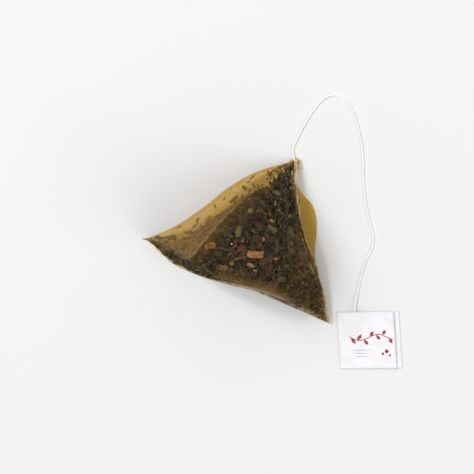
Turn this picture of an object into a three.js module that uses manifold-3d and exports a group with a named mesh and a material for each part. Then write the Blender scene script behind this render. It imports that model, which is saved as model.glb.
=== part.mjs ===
// A pyramid tea bag, steeped and laid down on one face, with its thread and its paper tag.
// Millimetres. The origin is on the ground under the middle of the pouch, and z is up.
// The pouch is one tube of mesh, closed by two seals at right angles to each other:
// the far seal runs from the far tip up to the crown, the thread seal along the ground.
import * as THREE from "three";
import { mergeVertices } from "three/addons/utils/BufferGeometryUtils.js";
import Module from "manifold-3d";

const wasm = await Module();
wasm.setup();

// Size of the pouch as it lies.
const threadSealLength = 53;
const tipReach = 55.5;
const tipShift = 11;
const tipHeight = 1.6;
const crownHeight = 49;
const crownReach = 23.5;
const crownShift = 6.3;
const cornerHeight = 0.9;
const wall = 0.4;

// Slack of each face, as the height of its bulge.
const farBulge = 2.6;
const frontBulge = 5.5;
const lowerBulge = 3.6;
const groundBulge = 8;

// The ground face's slack rolls out past the thread seal, most of it near the thread tip.
// Places and lengths are shares of the tube's length and of the face's width.
const rollBulge = 13;
const rollOutShare = 0.227;
const rollPlaceShare = 0.86;
const rollLengthShare = 0.14;
const rollEaseShare = 0.05;
const rollThreadSideShare = 0.7;
const rollThreadWidthShare = 0.26;
const rollLeastShare = 0.42;

// Welded fins, the tab that holds the thread, and the gaps of the mesh.
const finWidth = 1.3;
const finThickness = 0.8;
const farFinSlant = 0.84;
const skinStartShare = 0.012;
const hollowStartShare = 0.045;
const seamWidth = 1.6;
const seamHeight = 0.3;
const seamStartShare = 0.03;
const seamEndShare = 0.96;
const tabWidth = 3.2;
const tabLength = 3.4;
const tabReach = 0.5;
const gapPitch = 6;
const gapSize = 3.1;
const gapFoldMargin = 1.7;
const gapSealMargin = 0.1;
const restRow = 2;
const restHalfWidthShare = 0.06;

// Tea inside the pouch.
const clearance = 0.3;
const bedLumps = 1.3;
const bedInset = 0.8;
const bedRoll = 4;
const bedStartShare = 0.08;
const bedEmptyCorner = 0.45;
const bedRoundCorner = 1.68;
const bedSealCorner = 1.74;
const pieceDepth = 0.2;
const pocketSlack = 0.25;
const peelThickness = 1.3;
const freshLeafThickness = 0.5;
const darkLeafThickness = 0.7;
const petalThickness = 0.5;
const stemThickness = 0.9;
const berryThickness = 1.8;

// Thread and tag.
const threadDiameter = 0.6;
const threadSteps = 78;
const threadSides = 8;
const tagWidth = 20;
const tagHeight = 18.5;
const tagStep = 1.7;
const tagReach = 12.4;
const tagDrop = 34.4;
const tagTurn = THREE.MathUtils.degToRad(-8);
const paperThickness = 0.3;
const paperFoldDepth = 0.9;
const ridgeWidth = 2.6;
const ridgeRun = 5;
const threadInTagShare = 0.28;
const threadInTagLength = 8.5;

// Places that follow from the sizes.
const farFinReach = farFinSlant * finWidth;
const rollReach = rollOutShare * rollBulge;
const sealX = (tipReach + farFinReach - rollReach) / 2;
const threadTip = new THREE.Vector3(sealX + 0.5, threadSealLength / 2, cornerHeight);
const lowerTip = new THREE.Vector3(sealX, -threadSealLength / 2, cornerHeight);
const farTip = new THREE.Vector3(sealX - tipReach, tipShift, tipHeight);
const crown = new THREE.Vector3(sealX - crownReach, crownShift, crownHeight);
const middle = new THREE.Vector3()
  .add(threadTip)
  .add(lowerTip)
  .add(farTip)
  .add(crown)
  .multiplyScalar(0.25);

const materials = {
  mesh: new THREE.MeshStandardMaterial({ color: 0xb0904a, roughness: 0.45, metalness: 0 }),
  leaf: new THREE.MeshStandardMaterial({ color: 0x2e2a20, roughness: 0.6, metalness: 0 }),
  green: new THREE.MeshStandardMaterial({ color: 0x55602a, roughness: 0.55, metalness: 0 }),
  peel: new THREE.MeshStandardMaterial({ color: 0xb0683a, roughness: 0.5, metalness: 0 }),
  stem: new THREE.MeshStandardMaterial({ color: 0x6b4a2c, roughness: 0.6, metalness: 0 }),
  petal: new THREE.MeshStandardMaterial({ color: 0x6a3034, roughness: 0.5, metalness: 0 }),
  berry: new THREE.MeshStandardMaterial({ color: 0x6d6638, roughness: 0.5, metalness: 0 }),
  thread: new THREE.MeshStandardMaterial({ color: 0xf2f0ea, roughness: 0.9, metalness: 0 }),
  paper: new THREE.MeshStandardMaterial({ color: 0xf1f0f3, roughness: 0.85, metalness: 0 }),
};

// Each edge runs between two corners, with a bow at its middle and an S-bend on top.
function edgeOf(start, end, bow, bend) {
  return { start, end, bow: new THREE.Vector3(...bow), bend: new THREE.Vector3(...bend) };
}

const edges = {
  farSeal: edgeOf(farTip, crown, [0.3, 0.9, 0], [0, 0, 0]),
  threadSeal: edgeOf(threadTip, lowerTip, [-0.3, 0, 5], [-1, 0, 0.8]),
  farFold: edgeOf(farTip, threadTip, [0.8, 0.6, 2.5], [0.4, -1.7, 0.5]),
  frontFold: edgeOf(crown, threadTip, [-1.6, 1.6, 0], [0, 0, 0]),
  lowerFold: edgeOf(crown, lowerTip, [0, 1, 0], [0, -1.7, 0]),
  groundFold: edgeOf(farTip, lowerTip, [-1, 1, 3], [0, 0, 0]),
};

function bowOf(edge, t) {
  return edge.bow
    .clone()
    .multiplyScalar(Math.sin(Math.PI * t))
    .addScaledVector(edge.bend, Math.sin(2 * Math.PI * t));
}

function pointOn(edge, t) {
  return edge.start.clone().lerp(edge.end, t).add(bowOf(edge, t));
}

function outwardNormal(a, b, c) {
  const normal = b.clone().sub(a).cross(c.clone().sub(a)).normalize();
  return normal.dot(a.clone().sub(middle)) > 0 ? normal : normal.negate();
}

// The four faces, in order round the tube. Each spans from its first fold to its second.
// rise and fall say where along the tube its bulge is highest.
const faces = {
  far: {
    first: edges.farFold,
    second: edges.frontFold,
    normal: outwardNormal(farTip, crown, threadTip),
    bulge: farBulge,
    rise: 0.6,
    fall: 1,
  },
  front: {
    first: edges.frontFold,
    second: edges.lowerFold,
    normal: outwardNormal(crown, threadTip, lowerTip),
    bulge: frontBulge,
    rise: 1,
    fall: 0.6,
  },
  lower: {
    first: edges.lowerFold,
    second: edges.groundFold,
    normal: outwardNormal(crown, lowerTip, farTip),
    bulge: lowerBulge,
    rise: 0.5,
    fall: 3.4,
  },
  ground: {
    first: edges.groundFold,
    second: edges.farFold,
    normal: outwardNormal(lowerTip, farTip, threadTip),
    bulge: groundBulge,
    rise: 1,
    fall: 0.5,
  },
};
const faceOrder = ["far", "front", "lower", "ground"];

function swell(face, t) {
  const peak = face.rise / (face.rise + face.fall);
  const shape = (at) => at ** face.rise * (1 - at) ** face.fall;
  return shape(t) / shape(peak);
}

// A smooth hill of height 1 at its place.
function hill(at, place, width) {
  return Math.exp(-(((at - place) / width) ** 2));
}

function rollShare(s, t) {
  const alongTube = hill(t, rollPlaceShare, rollLengthShare) * (1 - Math.exp(-(1 - t) / rollEaseShare));
  const acrossFace = Math.sin(Math.PI * s) ** 0.7;
  const nearThread = rollLeastShare + (1 - rollLeastShare) * hill(s, rollThreadSideShare, rollThreadWidthShare);
  return alongTube * acrossFace * nearThread;
}

// A point of the mesh sheet: s goes across a face, t along the tube from the far seal.
function sheetPoint(name, s, t, roll = rollBulge) {
  const face = faces[name];
  const point = pointOn(face.first, t).lerp(pointOn(face.second, t), s);
  if (name === "far") point.addScaledVector(bowOf(edges.farSeal, s), (1 - t) ** 2);
  if (name === "lower") point.addScaledVector(bowOf(edges.farSeal, 1 - s), (1 - t) ** 2);
  if (name === "front") point.addScaledVector(bowOf(edges.threadSeal, s), t ** 2);
  if (name === "ground") point.addScaledVector(bowOf(edges.threadSeal, 1 - s), t ** 2);
  point.addScaledVector(face.normal, face.bulge * 4 * s * (1 - s) * swell(face, t));
  if (name === "ground") point.x += roll * rollShare(s, t);
  point.z = Math.max(point.z, wall / 2);
  return point;
}

function sheetNormal(name, s, t) {
  const step = 0.01;
  const acrossStart = sheetPoint(name, Math.max(s - step, 0), t);
  const across = sheetPoint(name, Math.min(s + step, 1), t).sub(acrossStart);
  const alongStart = sheetPoint(name, s, Math.max(t - step, 0));
  const along = sheetPoint(name, s, Math.min(t + step, 1)).sub(alongStart);
  const normal = across.cross(along);
  if (normal.length() < 1e-4) return faces[name].normal.clone();
  normal.normalize();
  return normal.dot(faces[name].normal) < 0 ? normal.negate() : normal;
}

// At a fold the normal is the mean of its two faces.
function ringNormal(index, s, t) {
  const name = faceOrder[index];
  const normal = sheetNormal(name, s, t);
  const neighbour = s === 0 ? faceOrder[(index + 3) % 4] : null;
  if (neighbour) normal.add(sheetNormal(neighbour, 1, t)).normalize();
  return normal;
}

// One closed ring round the tube, offset outwards from the middle of the sheet.
function sheetRing(t, offset, cells, roll = rollBulge) {
  const ring = [];
  for (let index = 0; index < 4; index += 1) {
    for (let cell = 0; cell < cells; cell += 1) {
      const s = cell / cells;
      const point = sheetPoint(faceOrder[index], s, t, roll);
      if (offset !== 0) point.addScaledVector(ringNormal(index, s, t), offset);
      ring.push(point);
    }
  }
  return ring;
}

// A closed body from rings of equal count. Each end is zipped across the flattened ring,
// far and lower sides against each other at the start, front and ground at the finish.
function loftRings(rings, startPairs, endPairs) {
  const count = rings[0].length;
  const positions = rings.flat().flatMap((point) => [point.x, point.y, point.z]);
  const faceIndex = [];
  const quad = (a, b, c, d) => faceIndex.push(a, b, c, a, c, d);
  for (let row = 0; row < rings.length - 1; row += 1) {
    for (let column = 0; column < count; column += 1) {
      const next = (column + 1) % count;
      const low = row * count;
      const high = low + count;
      quad(low + column, low + next, high + next, high + column);
    }
  }
  const lastRow = (rings.length - 1) * count;
  for (const [a, b, c, d] of startPairs) quad(d, c, b, a);
  for (const [a, b, c, d] of endPairs) quad(lastRow + a, lastRow + b, lastRow + c, lastRow + d);
  const geometry = new THREE.BufferGeometry();
  geometry.setAttribute("position", new THREE.Float32BufferAttribute(positions, 3));
  geometry.setIndex(faceIndex);
  return geometry;
}

// Quads across a ring, between a run that starts at one index and the run opposite to it.
function zipQuads(count, start) {
  const half = count / 2;
  const quads = [];
  for (let step = 0; step < half; step += 1) {
    const a = (start + step) % count;
    const b = (start + step + 1) % count;
    const c = (start - step - 1 + 2 * count) % count;
    const d = (start - step + 2 * count) % count;
    quads.push([a, b, c, d]);
  }
  return quads;
}

function solidFrom(geometry) {
  const bare = new THREE.BufferGeometry();
  bare.setAttribute("position", geometry.getAttribute("position"));
  if (geometry.index) bare.setIndex(geometry.index);
  const merged = mergeVertices(bare, 1e-4);
  const corners = [];
  const index = merged.index.array;
  for (let at = 0; at < index.length; at += 3) {
    const [a, b, c] = [index[at], index[at + 1], index[at + 2]];
    if (a !== b && b !== c && c !== a) corners.push(a, b, c);
  }
  const mesh = new wasm.Mesh({
    numProp: 3,
    vertProperties: new Float32Array(merged.getAttribute("position").array),
    triVerts: new Uint32Array(corners),
  });
  return new wasm.Manifold(mesh);
}

function geometryFrom(solid) {
  const mesh = solid.getMesh();
  const geometry = new THREE.BufferGeometry();
  const stride = mesh.numProp;
  const positions = [];
  for (let at = 0; at < mesh.vertProperties.length; at += stride) {
    positions.push(...mesh.vertProperties.slice(at, at + 3));
  }
  geometry.setAttribute("position", new THREE.Float32BufferAttribute(positions, 3));
  geometry.setIndex([...mesh.triVerts]);
  geometry.computeVertexNormals();
  return geometry;
}

// A box between eight corners: four below and four above, both in the same turn.
function hexahedron(below, above) {
  const geometry = new THREE.BufferGeometry();
  const positions = [...below, ...above].flatMap((point) => [point.x, point.y, point.z]);
  geometry.setAttribute("position", new THREE.Float32BufferAttribute(positions, 3));
  geometry.setIndex([
    0, 2, 1, 0, 3, 2, 4, 5, 6, 4, 6, 7, 0, 1, 5, 0, 5, 4,
    1, 2, 6, 1, 6, 5, 2, 3, 7, 2, 7, 6, 3, 0, 4, 3, 4, 7,
  ]);
  return geometry;
}

function facingOut(solid, geometry) {
  if (solid.volume() >= 0) return solid;
  const index = geometry.index.array;
  for (let at = 0; at < index.length; at += 3) {
    [index[at + 1], index[at + 2]] = [index[at + 2], index[at + 1]];
  }
  return solidFrom(geometry);
}

function bodyFrom(geometry) {
  return facingOut(solidFrom(geometry), geometry);
}

// Cuts can leave a crumb of no size, which is left out.
function largestBody(solid) {
  const bodies = solid.decompose();
  return bodies.reduce((best, body) => (body.volume() > best.volume() ? body : best));
}

// A welded fin along one seal: a flat strip that stands outwards.
function sealFin(edge, outward, stations) {
  const root = 2 * wall;
  const step = 0.01;
  const rings = [];
  for (let station = 0; station <= stations; station += 1) {
    const t = station / stations;
    const before = pointOn(edge, Math.max(t - step, 0));
    const along = pointOn(edge, Math.min(t + step, 1)).sub(before).normalize();
    const across = outward.clone().addScaledVector(along, -outward.dot(along)).normalize();
    const through = along.clone().cross(across);
    const corner = (out, side) =>
      pointOn(edge, t)
        .addScaledVector(across, out)
        .addScaledVector(through, (side * finThickness) / 2);
    const ring = [corner(-root, -1), corner(finWidth, -1), corner(finWidth, 1), corner(-root, 1)];
    for (const point of ring) point.z = Math.max(point.z, 0);
    rings.push(ring);
  }
  return bodyFrom(loftRings(rings, [[0, 1, 2, 3]], [[0, 1, 2, 3]]));
}

// The lap seam of the tube runs down the middle of the lower face, as a raised band.
function lapSeam() {
  const rings = [];
  const stations = 14;
  const widestShare = 0.3;
  for (let station = 0; station <= stations; station += 1) {
    const t = seamStartShare + ((seamEndShare - seamStartShare) * station) / stations;
    const width = pointOn(faces.lower.first, t).distanceTo(pointOn(faces.lower.second, t));
    const half = Math.min(seamWidth / 2 / width, widestShare);
    const corner = (side, height) => {
      const s = 0.5 + side * half;
      return sheetPoint("lower", s, t).addScaledVector(sheetNormal("lower", s, t), height);
    };
    const top = wall / 2 + seamHeight;
    rings.push([corner(-1, 0), corner(1, 0), corner(1, top), corner(-1, top)]);
  }
  return bodyFrom(loftRings(rings, [[0, 1, 2, 3]], [[0, 1, 2, 3]]));
}

// The film unrolls to a strip. A place on it gives the face and how far across that face it is.
const stripWidth = threadSealLength + farTip.distanceTo(crown);
function placeOnStrip(u, t) {
  const quarter = stripWidth / 4;
  const folds = [
    quarter * t,
    2 * quarter - quarter * t,
    2 * quarter + quarter * t,
    4 * quarter - quarter * t,
    4 * quarter + quarter * t,
  ];
  const turned = u < folds[0] ? u + stripWidth : u;
  for (let index = 0; index < 4; index += 1) {
    if (turned <= folds[index + 1]) {
      const width = folds[index + 1] - folds[index];
      return { index, s: (turned - folds[index]) / width, width };
    }
  }
  return { index: 3, s: 1, width: folds[4] - folds[3] };
}

// The gaps of the mesh stand in rows and columns along the film's own threads.
function meshGaps(length) {
  const cutters = [];
  const cutReach = wall + gapFoldMargin / 4;
  const columns = Math.round(stripWidth / gapPitch);
  const rows = Math.floor((length * (1 - 2 * gapSealMargin)) / gapPitch) + 1;
  const span = ((rows - 1) * gapPitch) / length;
  for (let row = 0; row < rows; row += 1) {
    for (let column = 0; column < columns; column += 1) {
      const t = 0.5 - span / 2 + (row * gapPitch) / length;
      const u = (column + 0.5) * (stripWidth / columns);
      const halfT = gapSize / 2 / length;
      const places = [
        [u - gapSize / 2, t - halfT],
        [u + gapSize / 2, t - halfT],
        [u + gapSize / 2, t + halfT],
        [u - gapSize / 2, t + halfT],
      ].map(([across, along]) => ({ ...placeOnStrip(across, along), t: along }));
      const sameFace = places.every((place) => place.index === places[0].index);
      const clearOfFolds = places.every(
        ({ s, width }) => s * width > gapFoldMargin && (1 - s) * width > gapFoldMargin,
      );
      const name = faceOrder[places[0].index];
      const onSeam = name === "lower" && places.some(({ s, width }) =>
        Math.abs(s - 0.5) * width < seamWidth);
      const onRest = name === "ground" && row === restRow && places.some(({ s }) =>
        Math.abs(s - 0.5) < restHalfWidthShare);
      if (!sameFace || !clearOfFolds || onSeam || onRest) continue;
      const shifted = (offset) => places.map(({ s, t: along }) =>
        sheetPoint(name, s, along).addScaledVector(sheetNormal(name, s, along), offset));
      cutters.push(bodyFrom(hexahedron(shifted(-cutReach), shifted(cutReach))));
    }
  }
  return cutters;
}

// The slot in the tab takes the end of the thread.
const slotWidth = threadDiameter + 2 * clearance;
const slotDepth = 1.5;
const slotRun = slotDepth + 4;
const slotHeight = 8;

function threadTab() {
  const tab = new THREE.BoxGeometry(tabWidth, tabLength, finThickness);
  tab.translate(threadTip.x, threadTip.y + tabReach - tabLength / 2, threadTip.z);
  return solidFrom(tab);
}

function threadSlot() {
  const slot = new THREE.BoxGeometry(slotWidth, slotRun, slotHeight);
  slot.translate(threadTip.x, threadTip.y + tabReach - slotDepth + slotRun / 2, threadTip.z);
  return solidFrom(slot);
}

// The pouch: a hollow sheet with its fins, seam and tab, then the gaps and the slot cut out.
function pouchSolid() {
  const cells = 8;
  const rows = 18;
  const shell = (start, offset) => {
    const rings = [];
    for (let row = 0; row <= rows; row += 1) {
      const eased = (1 - Math.cos((Math.PI * row) / rows)) / 2;
      rings.push(sheetRing(start + (1 - 2 * start) * eased, offset, cells));
    }
    const count = 4 * cells;
    const startQuads = zipQuads(count, (count - cells / 2) % count);
    const endQuads = zipQuads(count, cells / 2);
    return bodyFrom(loftRings(rings, startQuads, endQuads));
  };
  const sealOut = new THREE.Vector3(0.8, 0, 0.6);
  const farOut = pointOn(edges.farSeal, 0.5).sub(middle).normalize();
  let pouch = shell(skinStartShare, wall / 2)
    .add(sealFin(edges.threadSeal, sealOut, rows))
    .add(sealFin(edges.farSeal, farOut, rows))
    .add(lapSeam())
    .add(threadTab())
    .subtract(shell(hollowStartShare, -wall / 2));
  const length = pointOn(edges.farSeal, 0.5).distanceTo(pointOn(edges.threadSeal, 0.5));
  for (const cutter of meshGaps(length)) pouch = pouch.subtract(cutter);
  return largestBody(pouch.subtract(threadSlot()));
}

// Smooth lumps of the wet tea, from a few crossing waves, between 0 and 1.
function lumps(a, b) {
  const waves =
    Math.sin(a * 1.7 + 1.3 * Math.sin(b * 1.1)) +
    Math.sin(b * 2.3 + 1.1 * Math.sin(a * 1.9 + 0.7)) +
    Math.sin((a + b) * 1.3 + 2.1);
  return 0.5 + waves / 6;
}

// The bed fills the section of the tube, less a clear margin, and stays out of the corner
// along the far fold, where the real bag is empty.
function bedRing(t, cells) {
  const ring = sheetRing(t, 0, cells, bedRoll);
  const corners = [0, 1, 2, 3].map((index) => ring[index * cells]);
  const centre = new THREE.Vector3();
  for (const corner of corners) centre.addScaledVector(corner, 0.25);
  const [c1, c2, c3, c4] = corners;
  const toCrown = c2.clone().add(c3).sub(c1).sub(c4).normalize();
  const toLower = c3.clone().add(c4).sub(c1).sub(c2);
  toLower.addScaledVector(toCrown, -toLower.dot(toCrown)).normalize();
  const up = toCrown.clone().cross(toLower);
  const local = ring.map((point) => {
    const offset = point.clone().sub(centre);
    return [offset.dot(toCrown), offset.dot(toLower), offset.dot(up)];
  });
  const halfX = Math.max(...local.map((place) => Math.abs(place[0])));
  const halfY = Math.max(...local.map((place) => Math.abs(place[1])));
  const lowest = wall + clearance;
  return local.map(([x, y, z], index) => {
    const lump = lumps(index * 0.62, t * 26) * bedLumps;
    const insetX = Math.min(bedInset + lump, halfX * 0.4);
    const insetY = Math.min(bedInset + lump, halfY * 0.4);
    let a = (x / halfX) * (1 - insetX / halfX);
    let b = (y / halfY) * (1 - insetY / halfY);
    const trim = (signA, signB, limit) => {
      const over = signA * a + signB * b - limit;
      if (over > 0) {
        a -= (signA * over) / 2;
        b -= (signB * over) / 2;
      }
    };
    trim(-1, -1, bedEmptyCorner + 0.12 * lumps(index * 0.9, t * 17));
    trim(1, -1, bedRoundCorner);
    trim(1, 1, bedRoundCorner);
    trim(-1, 1, bedSealCorner);
    const point = centre
      .clone()
      .addScaledVector(toCrown, a * halfX)
      .addScaledVector(toLower, b * halfY)
      .addScaledVector(up, z);
    point.z = Math.max(point.z, lowest + 0.2 * lump);
    return point;
  });
}

function bedSolid() {
  const cells = 6;
  const rows = 17;
  const rings = [];
  for (let row = 0; row <= rows; row += 1) {
    rings.push(bedRing(bedStartShare + ((1 - 2 * bedStartShare) * row) / rows, cells));
  }
  const count = 4 * cells;
  return bodyFrom(
    loftRings(rings, zipQuads(count, count - cells / 2), zipQuads(count, cells / 2)),
  );
}

// Outlines of the larger pieces, one millimetre long and wide, scaled when they are made.
function leafOutline() {
  const outline = new THREE.Shape();
  outline.moveTo(-0.5, 0);
  outline.quadraticCurveTo(-0.2, -0.52, 0.18, -0.42);
  outline.quadraticCurveTo(0.36, -0.2, 0.5, 0.06);
  outline.quadraticCurveTo(0.22, 0.5, -0.08, 0.44);
  outline.quadraticCurveTo(-0.34, 0.34, -0.5, 0);
  return outline;
}

function chipOutline() {
  const outline = new THREE.Shape();
  outline.moveTo(-0.48, -0.3);
  outline.lineTo(0.3, -0.46);
  outline.lineTo(0.5, -0.1);
  outline.lineTo(0.42, 0.38);
  outline.lineTo(-0.1, 0.48);
  outline.lineTo(-0.5, 0.22);
  outline.closePath();
  return outline;
}

// A flat piece: its outline given a thickness, then curled away from the sheet above it.
function curledPiece(outline, length, width, thickness, curl, steps) {
  const geometry = new THREE.ExtrudeGeometry(outline, {
    depth: 1,
    bevelEnabled: false,
    curveSegments: steps,
  });
  geometry.translate(0, 0, -0.5);
  geometry.scale(length, width, thickness);
  const position = geometry.getAttribute("position");
  for (let at = 0; at < position.count; at += 1) {
    const x = position.getX(at);
    const y = position.getY(at);
    position.setZ(at, position.getZ(at) - curl * (x * x * 0.4 + y * y));
  }
  return geometry;
}

function stick(length, thickness) {
  const geometry = new THREE.CylinderGeometry(thickness / 2, thickness * 0.42, length, 7, 2);
  geometry.rotateZ(Math.PI / 2);
  return geometry;
}

function roundBit(length, width, thickness) {
  const geometry = new THREE.IcosahedronGeometry(0.5, 1);
  geometry.scale(length, width, thickness);
  return geometry;
}

// Each kind makes its piece from a length, a width and a thickness.
const kinds = {
  peel_chip: {
    material: materials.peel,
    thickness: peelThickness,
    make: (length, width, thickness) =>
      curledPiece(chipOutline(), length, width, thickness, 0.05, 1),
  },
  green_leaf: {
    material: materials.green,
    thickness: freshLeafThickness,
    make: (length, width, thickness) =>
      curledPiece(leafOutline(), length, width, thickness, 0.09, 3),
  },
  dark_leaf: {
    material: materials.leaf,
    thickness: darkLeafThickness,
    make: (length, width, thickness) =>
      curledPiece(leafOutline(), length, width, thickness, 0.12, 3),
  },
  petal: {
    material: materials.petal,
    thickness: petalThickness,
    make: (length, width, thickness) =>
      curledPiece(leafOutline(), length, width, thickness, 0.1, 2),
  },
  stem: {
    material: materials.stem,
    thickness: stemThickness,
    make: (length, width) => stick(length, width),
  },
  berry: {
    material: materials.berry,
    thickness: berryThickness,
    make: (length, width, thickness) => roundBit(length, width, thickness),
  },
};

// The larger pieces: kind, face, place across and along it, length, width and turn in degrees.
const pieces = [
  ["peel_chip", "front", 0.59, 0.47, 6.2, 2.4, 72],
  ["peel_chip", "front", 0.8, 0.22, 4.2, 2, 70],
  ["peel_chip", "front", 0.16, 0.19, 3.6, 1.9, 78],
  ["peel_chip", "front", 0.72, 0.41, 3.8, 1.5, 60],
  ["peel_chip", "lower", 0.3, 0.32, 4.4, 2.4, 35],
  ["peel_chip", "ground", 0.3, 0.62, 4.6, 2.6, 70],
  ["green_leaf", "front", 0.23, 0.41, 4.6, 2.2, -48],
  ["green_leaf", "front", 0.51, 0.66, 3.6, 2.2, 10],
  ["green_leaf", "front", 0.36, 0.67, 4.2, 2.2, 50],
  ["green_leaf", "front", 0.86, 0.67, 3, 1.8, 50],
  ["green_leaf", "front", 0.12, 0.82, 3.2, 2.2, 80],
  ["green_leaf", "front", 0.42, 0.84, 4.4, 2.2, 20],
  ["green_leaf", "far", 0.72, 0.3, 4.8, 2.8, -35],
  ["green_leaf", "lower", 0.62, 0.2, 4.6, 2.6, 25],
  ["green_leaf", "ground", 0.2, 0.8, 5, 2.8, -15],
  ["dark_leaf", "front", 0.13, 0.68, 3.4, 2.2, 30],
  ["dark_leaf", "front", 0.38, 0.51, 3.8, 2.4, -45],
  ["dark_leaf", "front", 0.27, 0.86, 4, 2.2, 75],
  ["dark_leaf", "front", 0.6, 0.84, 4.2, 2.4, -10],
  ["dark_leaf", "front", 0.88, 0.85, 4.4, 2.2, 65],
  ["dark_leaf", "front", 0.58, 0.24, 3, 1.6, 80],
  ["dark_leaf", "far", 0.6, 0.16, 5, 2.6, 20],
  ["dark_leaf", "far", 0.76, 0.52, 4.2, 2.4, -60],
  ["dark_leaf", "lower", 0.24, 0.14, 4.6, 2.4, 15],
  ["dark_leaf", "lower", 0.5, 0.44, 4.8, 2.6, -25],
  ["dark_leaf", "ground", 0.44, 0.74, 5.2, 2.8, 40],
  ["petal", "front", 0.45, 0.37, 3, 1.9, -70],
  ["petal", "front", 0.28, 0.57, 3.2, 2, 25],
  ["petal", "front", 0.76, 0.56, 3.2, 1.8, 5],
  ["petal", "lower", 0.72, 0.46, 3.6, 2, 50],
  ["petal", "far", 0.82, 0.16, 3.4, 2, -30],
  ["stem", "front", 0.6, 0.34, 4.2, stemThickness, 84],
  ["stem", "front", 0.7, 0.75, 6, stemThickness, 35],
  ["stem", "front", 0.37, 0.26, 4.2, stemThickness, 60],
  ["stem", "lower", 0.4, 0.12, 5.5, stemThickness, 5],
  ["stem", "ground", 0.56, 0.6, 6.5, stemThickness, 80],
  ["berry", "front", 0.12, 0.57, 2.1, 1.9, 0],
  ["berry", "front", 0.24, 0.7, 1.8, 1.6, 30],
  ["berry", "front", 0.79, 0.32, 1.7, 1.5, 0],
  ["berry", "lower", 0.46, 0.24, 2, 1.8, 20],
];

// Lays a piece under the sheet, its long side turned from the direction across the face.
function placement(name, s, t, turn, thickness) {
  const normal = sheetNormal(name, s, t);
  const across = sheetPoint(name, Math.min(s + 0.02, 1), t).sub(sheetPoint(name, s, t));
  across.addScaledVector(normal, -across.dot(normal)).normalize();
  const along = normal.clone().cross(across);
  const angle = THREE.MathUtils.degToRad(turn);
  const long = across.clone().multiplyScalar(Math.cos(angle));
  long.addScaledVector(along, Math.sin(angle));
  const wide = normal.clone().cross(long);
  const depth = wall / 2 + clearance + pieceDepth + thickness / 2;
  const place = sheetPoint(name, s, t).addScaledVector(normal, -depth);
  return new THREE.Matrix4().makeBasis(long, wide, normal).setPosition(place);
}

function pieceMeshes() {
  const growth = 2 * clearance + pocketSlack;
  const counts = {};
  const meshes = [];
  const pockets = [];
  for (const [kind, face, s, t, length, width, turn] of pieces) {
    counts[kind] = (counts[kind] ?? 0) + 1;
    const { material, thickness, make } = kinds[kind];
    const place = placement(face, s, t, turn, thickness);
    const solid = solidFrom(make(length, width, thickness));
    const mesh = new THREE.Mesh(geometryFrom(solid), material);
    mesh.name = `${kind}_${counts[kind]}`;
    mesh.applyMatrix4(place);
    meshes.push(mesh);
    const pocket = make(length + growth, width + growth, thickness + growth);
    pockets.push(solidFrom(pocket.applyMatrix4(place)));
  }
  return { meshes, pockets };
}

// The thread: out of the tab, along the ground in one loose loop, and in between the tag's leaves.
const groundZ = threadDiameter / 2;
const insideTagZ = paperThickness + clearance + threadDiameter / 2;
const threadPath = [
  [0.5, 25.9, cornerHeight],
  [0.4, 27.9, 0.75],
  [0.5, 30, 0.4],
  [1.9, 32.1, groundZ],
  [3.8, 34.6, groundZ],
  [6.3, 37.4, groundZ],
  [9, 40.2, groundZ],
  [11.9, 42.6, groundZ],
  [15, 44.1, groundZ],
  [18.2, 43.9, groundZ],
  [20.7, 41.6, groundZ],
  [22, 38, groundZ],
  [22.5, 34, groundZ],
  [22.7, 30, groundZ],
  [22.5, 25.5, groundZ],
  [21.9, 21.3, groundZ],
  [21.1, 17.6, groundZ],
  [20.4, 12.2, groundZ],
  [20.1, 6.2, groundZ],
  [20.4, 1.4, groundZ],
  [20.3, -2.6, groundZ],
  [18.9, -5.9, groundZ],
  [16.5, -9, groundZ],
  [13.9, -13.6, groundZ],
  [11.9, -18.2, 0.4],
  [10.3, -22, 0.75],
  [9.5, -25.2, insideTagZ],
  [9, -28.4, insideTagZ],
  [8.5, -32.3, insideTagZ],
];

function threadMesh() {
  const points = threadPath.map(([x, y, z]) => new THREE.Vector3(x + sealX, y, z));
  const path = new THREE.CatmullRomCurve3(points, false, "centripetal");
  const section = new THREE.Shape();
  for (let side = 0; side < threadSides; side += 1) {
    const angle = ((side + 0.5) * 2 * Math.PI) / threadSides;
    const place = [(Math.cos(angle) * threadDiameter) / 2, (Math.sin(angle) * threadDiameter) / 2];
    if (side === 0) section.moveTo(...place);
    else section.lineTo(...place);
  }
  section.closePath();
  const geometry = new THREE.ExtrudeGeometry(section, {
    steps: threadSteps,
    bevelEnabled: false,
    extrudePath: path,
  });
  const mesh = new THREE.Mesh(geometryFrom(solidFrom(geometry)), materials.thread);
  mesh.name = "thread";
  return mesh;
}

// The tag: one sheet folded at its left edge, with the thread's end between the leaves.
// The upper leaf is a step narrower, and rises in a soft ridge over the thread.
const threadInTag = (threadInTagShare - 0.5) * tagWidth;

function leafGap(x, y) {
  const restGap = clearance + paperThickness / 3;
  const threadGap = threadDiameter + 2 * clearance;
  const across = hill(x, threadInTag, ridgeWidth);
  const end = tagHeight / 2 - threadInTagLength;
  const along = THREE.MathUtils.smoothstep(y, end - ridgeRun, end);
  return restGap + (threadGap - restGap) * across * along;
}

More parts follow.
